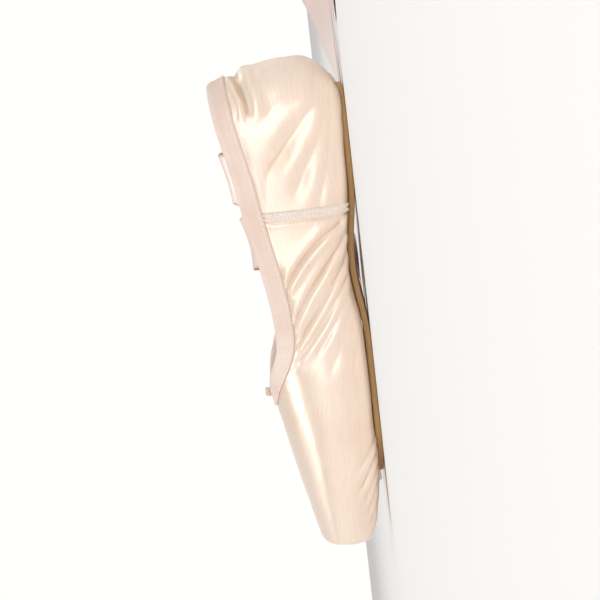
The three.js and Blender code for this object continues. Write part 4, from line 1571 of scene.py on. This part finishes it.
@dataclass
class Ribbon:
    """One satin ribbon, sewn inside its quarter and laid out on the floor."""

    side: Side
    route: np.ndarray
    width: float = 25.0
    thickness: float = 0.6
    steps: int = 420
    across: int = 18
    cut_slant: float = 7.0
    cut_run: float = 16.0
    thin: float = 0.72
    cup: float = 0.35
    square: tuple[tuple[float, float], ...] = (
        (-10, 1.5), (10, 1.5), (10, 11), (-10, 11), (-10, 1.5))

    def line(self) -> tuple[np.ndarray, np.ndarray, np.ndarray]:
        """The ribbon's centre, width direction and face direction, evenly spaced."""
        fine = np.linspace(0, 1, 3000)
        run = run_length(centripetal(self.route[:, :3], fine))
        t = np.interp(np.linspace(0, run[-1], self.steps), run, fine)
        centre = centripetal(self.route[:, :3], t)
        along = unit(np.gradient(centre, axis=0))
        wide = centripetal(unit(self.route[:, 3:]), t)
        wide = unit(wide - along * (wide * along).sum(1, keepdims=True))
        return centre, wide, np.cross(along, wide)

    def build(self, stitches: StitchTree) -> None:
        """Args:
            stitches: What sews it.
        """
        centre, wide, face = self.line()
        run = run_length(centre)
        length = run[-1]
        s = np.sin(np.linspace(-np.pi / 2, np.pi / 2, self.across))
        tilt = np.concatenate([s, s[::-1]])
        sides = np.repeat((1, -1), self.across)
        rows = []
        for a, sign in zip(tilt, sides):
            edge = smooth((abs(a) - 0.9) / 0.06)
            thick = self.thickness / 2 * (self.thin + 0.4 * edge)
            thick *= math.sqrt(max(1 - abs(a) ** 30, 0.0))
            cup = self.cup * (a * a - 0.5) * smooth(run / 60) * np.sin(run / 31)
            rows.append(centre + wide * (a * self.width / 2) + face * (sign * thick + cup)[:, None])
        rings = np.array(rows).transpose(1, 0, 2)
        along = unit(np.gradient(centre, axis=0))
        cut = np.clip((run - (length - self.cut_run)) / self.cut_run, 0, 1)
        slant = self.cut_slant * (1 + tilt[None, :, None]) / 2
        rings -= along[:, None] * cut[:, None, None] * slant
        name = f"ribbon_{self.side.value}_satin"
        # The fold mark is zero here, so the ribbons get no painted fold shade.
        made = solid(name, rings, False, (run / 100, np.append((tilt + 1) / 2, 0)),
                     {"fold": np.zeros(rings.shape[:2])})
        dress(made, "ribbon", RIBBON_SATIN.material())
        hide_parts(f"ribbon_{self.side.value}")
        LOG.info("%s is %.0f mm long", name, length)
        self._sew(stitches, centre, wide, face)

    def _sew(self, stitches: StitchTree, centre: np.ndarray, wide: np.ndarray,
             face: np.ndarray) -> None:
        """Sews the ribbon's end to the lining in a square."""
        inward = -1 if self.side is Side.LEFT else 1
        facing = face[4] * np.sign(face[4][1] * inward)
        run = run_length(centre)
        corners = []
        for w, d in self.square:
            i = int(np.argmin(np.abs(run - d)))
            corners.append(centre[i] + wide[i] * w + facing * (self.thickness / 2))
        line = np.vstack([
            np.linspace(a, b, 8, endpoint=False) for a, b in zip(corners, corners[1:])
        ] + [corners[-1:]])
        thread = PALE_THREAD.material()
        path = line, np.tile(facing, (len(line), 1))
        sewn = stitches.sew(f"ribbon_{self.side.value}_stitches", [path], thread,
                            pitch=2.2, length=1.6, width=0.5, height=0.4)
        dress(sewn, "binding", thread)


# ---- the studio ----


@dataclass
class Studio:
    """The pale floor, the soft lights and the camera."""

    distance: float = 1.25
    heading: tuple[float, float] = (-0.19, 0.98)
    camera_height: float = 0.014
    target: tuple[float, float, float] = (-0.001, 0.0, 0.031)
    lens: float = 160.0
    lean: float = 6.5
    floor_radius: float = 14.0
    sky: tuple[float, float] = (1.02, 0.5)

    def build(self) -> None:
        """Builds the whole studio."""
        self._floor()
        self._lights()
        self._camera()

    def _floor(self) -> None:
        """A wide round floor."""
        rings = (0.3, 0.8, 1.5, 4.0, self.floor_radius)
        sides = 64
        turn = np.linspace(0, 2 * np.pi, sides, endpoint=False)
        points = [(r * math.cos(a), r * math.sin(a), 0.0) for r in rings for a in turn]
        ring, place = wrap(len(rings), sides, False)
        quads = (ring * sides + place % sides)[:, ::-1]
        mesh = bpy.data.meshes.new("floor")
        mesh.from_pydata(points, [], [q.tolist() for q in quads] + [tuple(range(sides))])
        mesh.materials.append(StudioFinish().material())
        linked("floor", mesh)

    def _lights(self) -> None:
        """A soft sky and three soft boxes."""
        scene = bpy.context.scene
        world = scene.world or bpy.data.worlds.new("sky")
        scene.world = world
        world.use_nodes = True
        tree = Tree(world.node_tree)
        coords = tree.node("ShaderNodeTexCoord")
        apart = tree.node("ShaderNodeSeparateXYZ", {0: coords.outputs["Generated"]})
        span = tree.node("ShaderNodeMapRange", {
            "Value": apart.outputs[2], "From Min": 0.1, "From Max": 0.75,
            "To Min": self.sky[0], "To Max": self.sky[1],
        }, interpolation_type="SMOOTHSTEP")
        sky = tree.tree.nodes["Background"]
        tree.put(sky, {"Color": (1.0, 0.985, 0.97, 1), "Strength": span.outputs[0]})
        boxes = (
            ("key", (-0.6, 1.8, 0.5), (1.5, 0.6), 6.2, (1.0, 0.975, 0.95)),
            ("fill", (0.6, 0.6, 1.8), (1.0, 1.0), 12.0, (1.0, 0.98, 0.96)),
            ("back", (-0.9, -1.6, 1.3), (0.9, 0.9), 4.0, (1.0, 0.975, 0.95)),
        )
        for name, place, size, power, colour in boxes:
            lamp = bpy.data.lights.new(name, "AREA")
            lamp.shape, lamp.energy, lamp.color = "RECTANGLE", power, colour
            lamp.size, lamp.size_y = size
            made = linked(name, lamp)
            made.location = place
            aim = Vector((0, 0, 0.03)) - Vector(place)
            made.rotation_euler = aim.to_track_quat("-Z", "Y").to_euler()
        scene.view_settings.view_transform = "Standard"

    def _camera(self) -> None:
        """A camera at floor level on the shoe's left, rolled so that the toe points down."""
        back = Vector((*self.heading, 0.0)).normalized()
        place = Vector(self.target) + back * self.distance
        place.z = self.camera_height
        look = (Vector(self.target) - place).normalized()
        toe = Vector((1, 0, 0))
        level = (toe - look * toe.dot(look)).normalized()
        rise = level.cross(look).normalized()
        rise = rise if rise.z > 0 else -rise
        lean = math.radians(self.lean)
        up = -level * math.cos(lean) - rise * math.sin(lean)
        right = look.cross(up)
        camera = linked("camera", bpy.data.cameras.new("camera"))
        camera.data.lens = self.lens
        camera.data.clip_start, camera.data.clip_end = 0.05, 20
        camera.location = place
        camera.rotation_mode = "QUATERNION"
        camera.rotation_quaternion = Matrix((right, up, -look)).transposed().to_quaternion()
        bpy.context.scene.camera = camera


def main() -> None:
    """Builds the shoe, its ribbons and the studio."""
    logging.basicConfig(level=logging.INFO, format="%(name)s: %(message)s", force=True)
    Studio().build()
    stitches = StitchTree()
    Ribbon(Side.LEFT, LEFT_ROUTE).build(stitches)
    Ribbon(Side.RIGHT, RIGHT_ROUTE).build(stitches)
    last = Last()
    pattern = Pattern(last)
    LOG.info("%d columns", len(pattern.turns))
    upper = Upper(last, pattern)
    upper.build()
    SideSeams(upper, stitches).build()
    Binding(last, pattern, stitches).build()
    Outsole(last, stitches).build()
    SockLining().build()
    Drawstring(last, pattern).build()


if __name__ == "__main__":
    main()
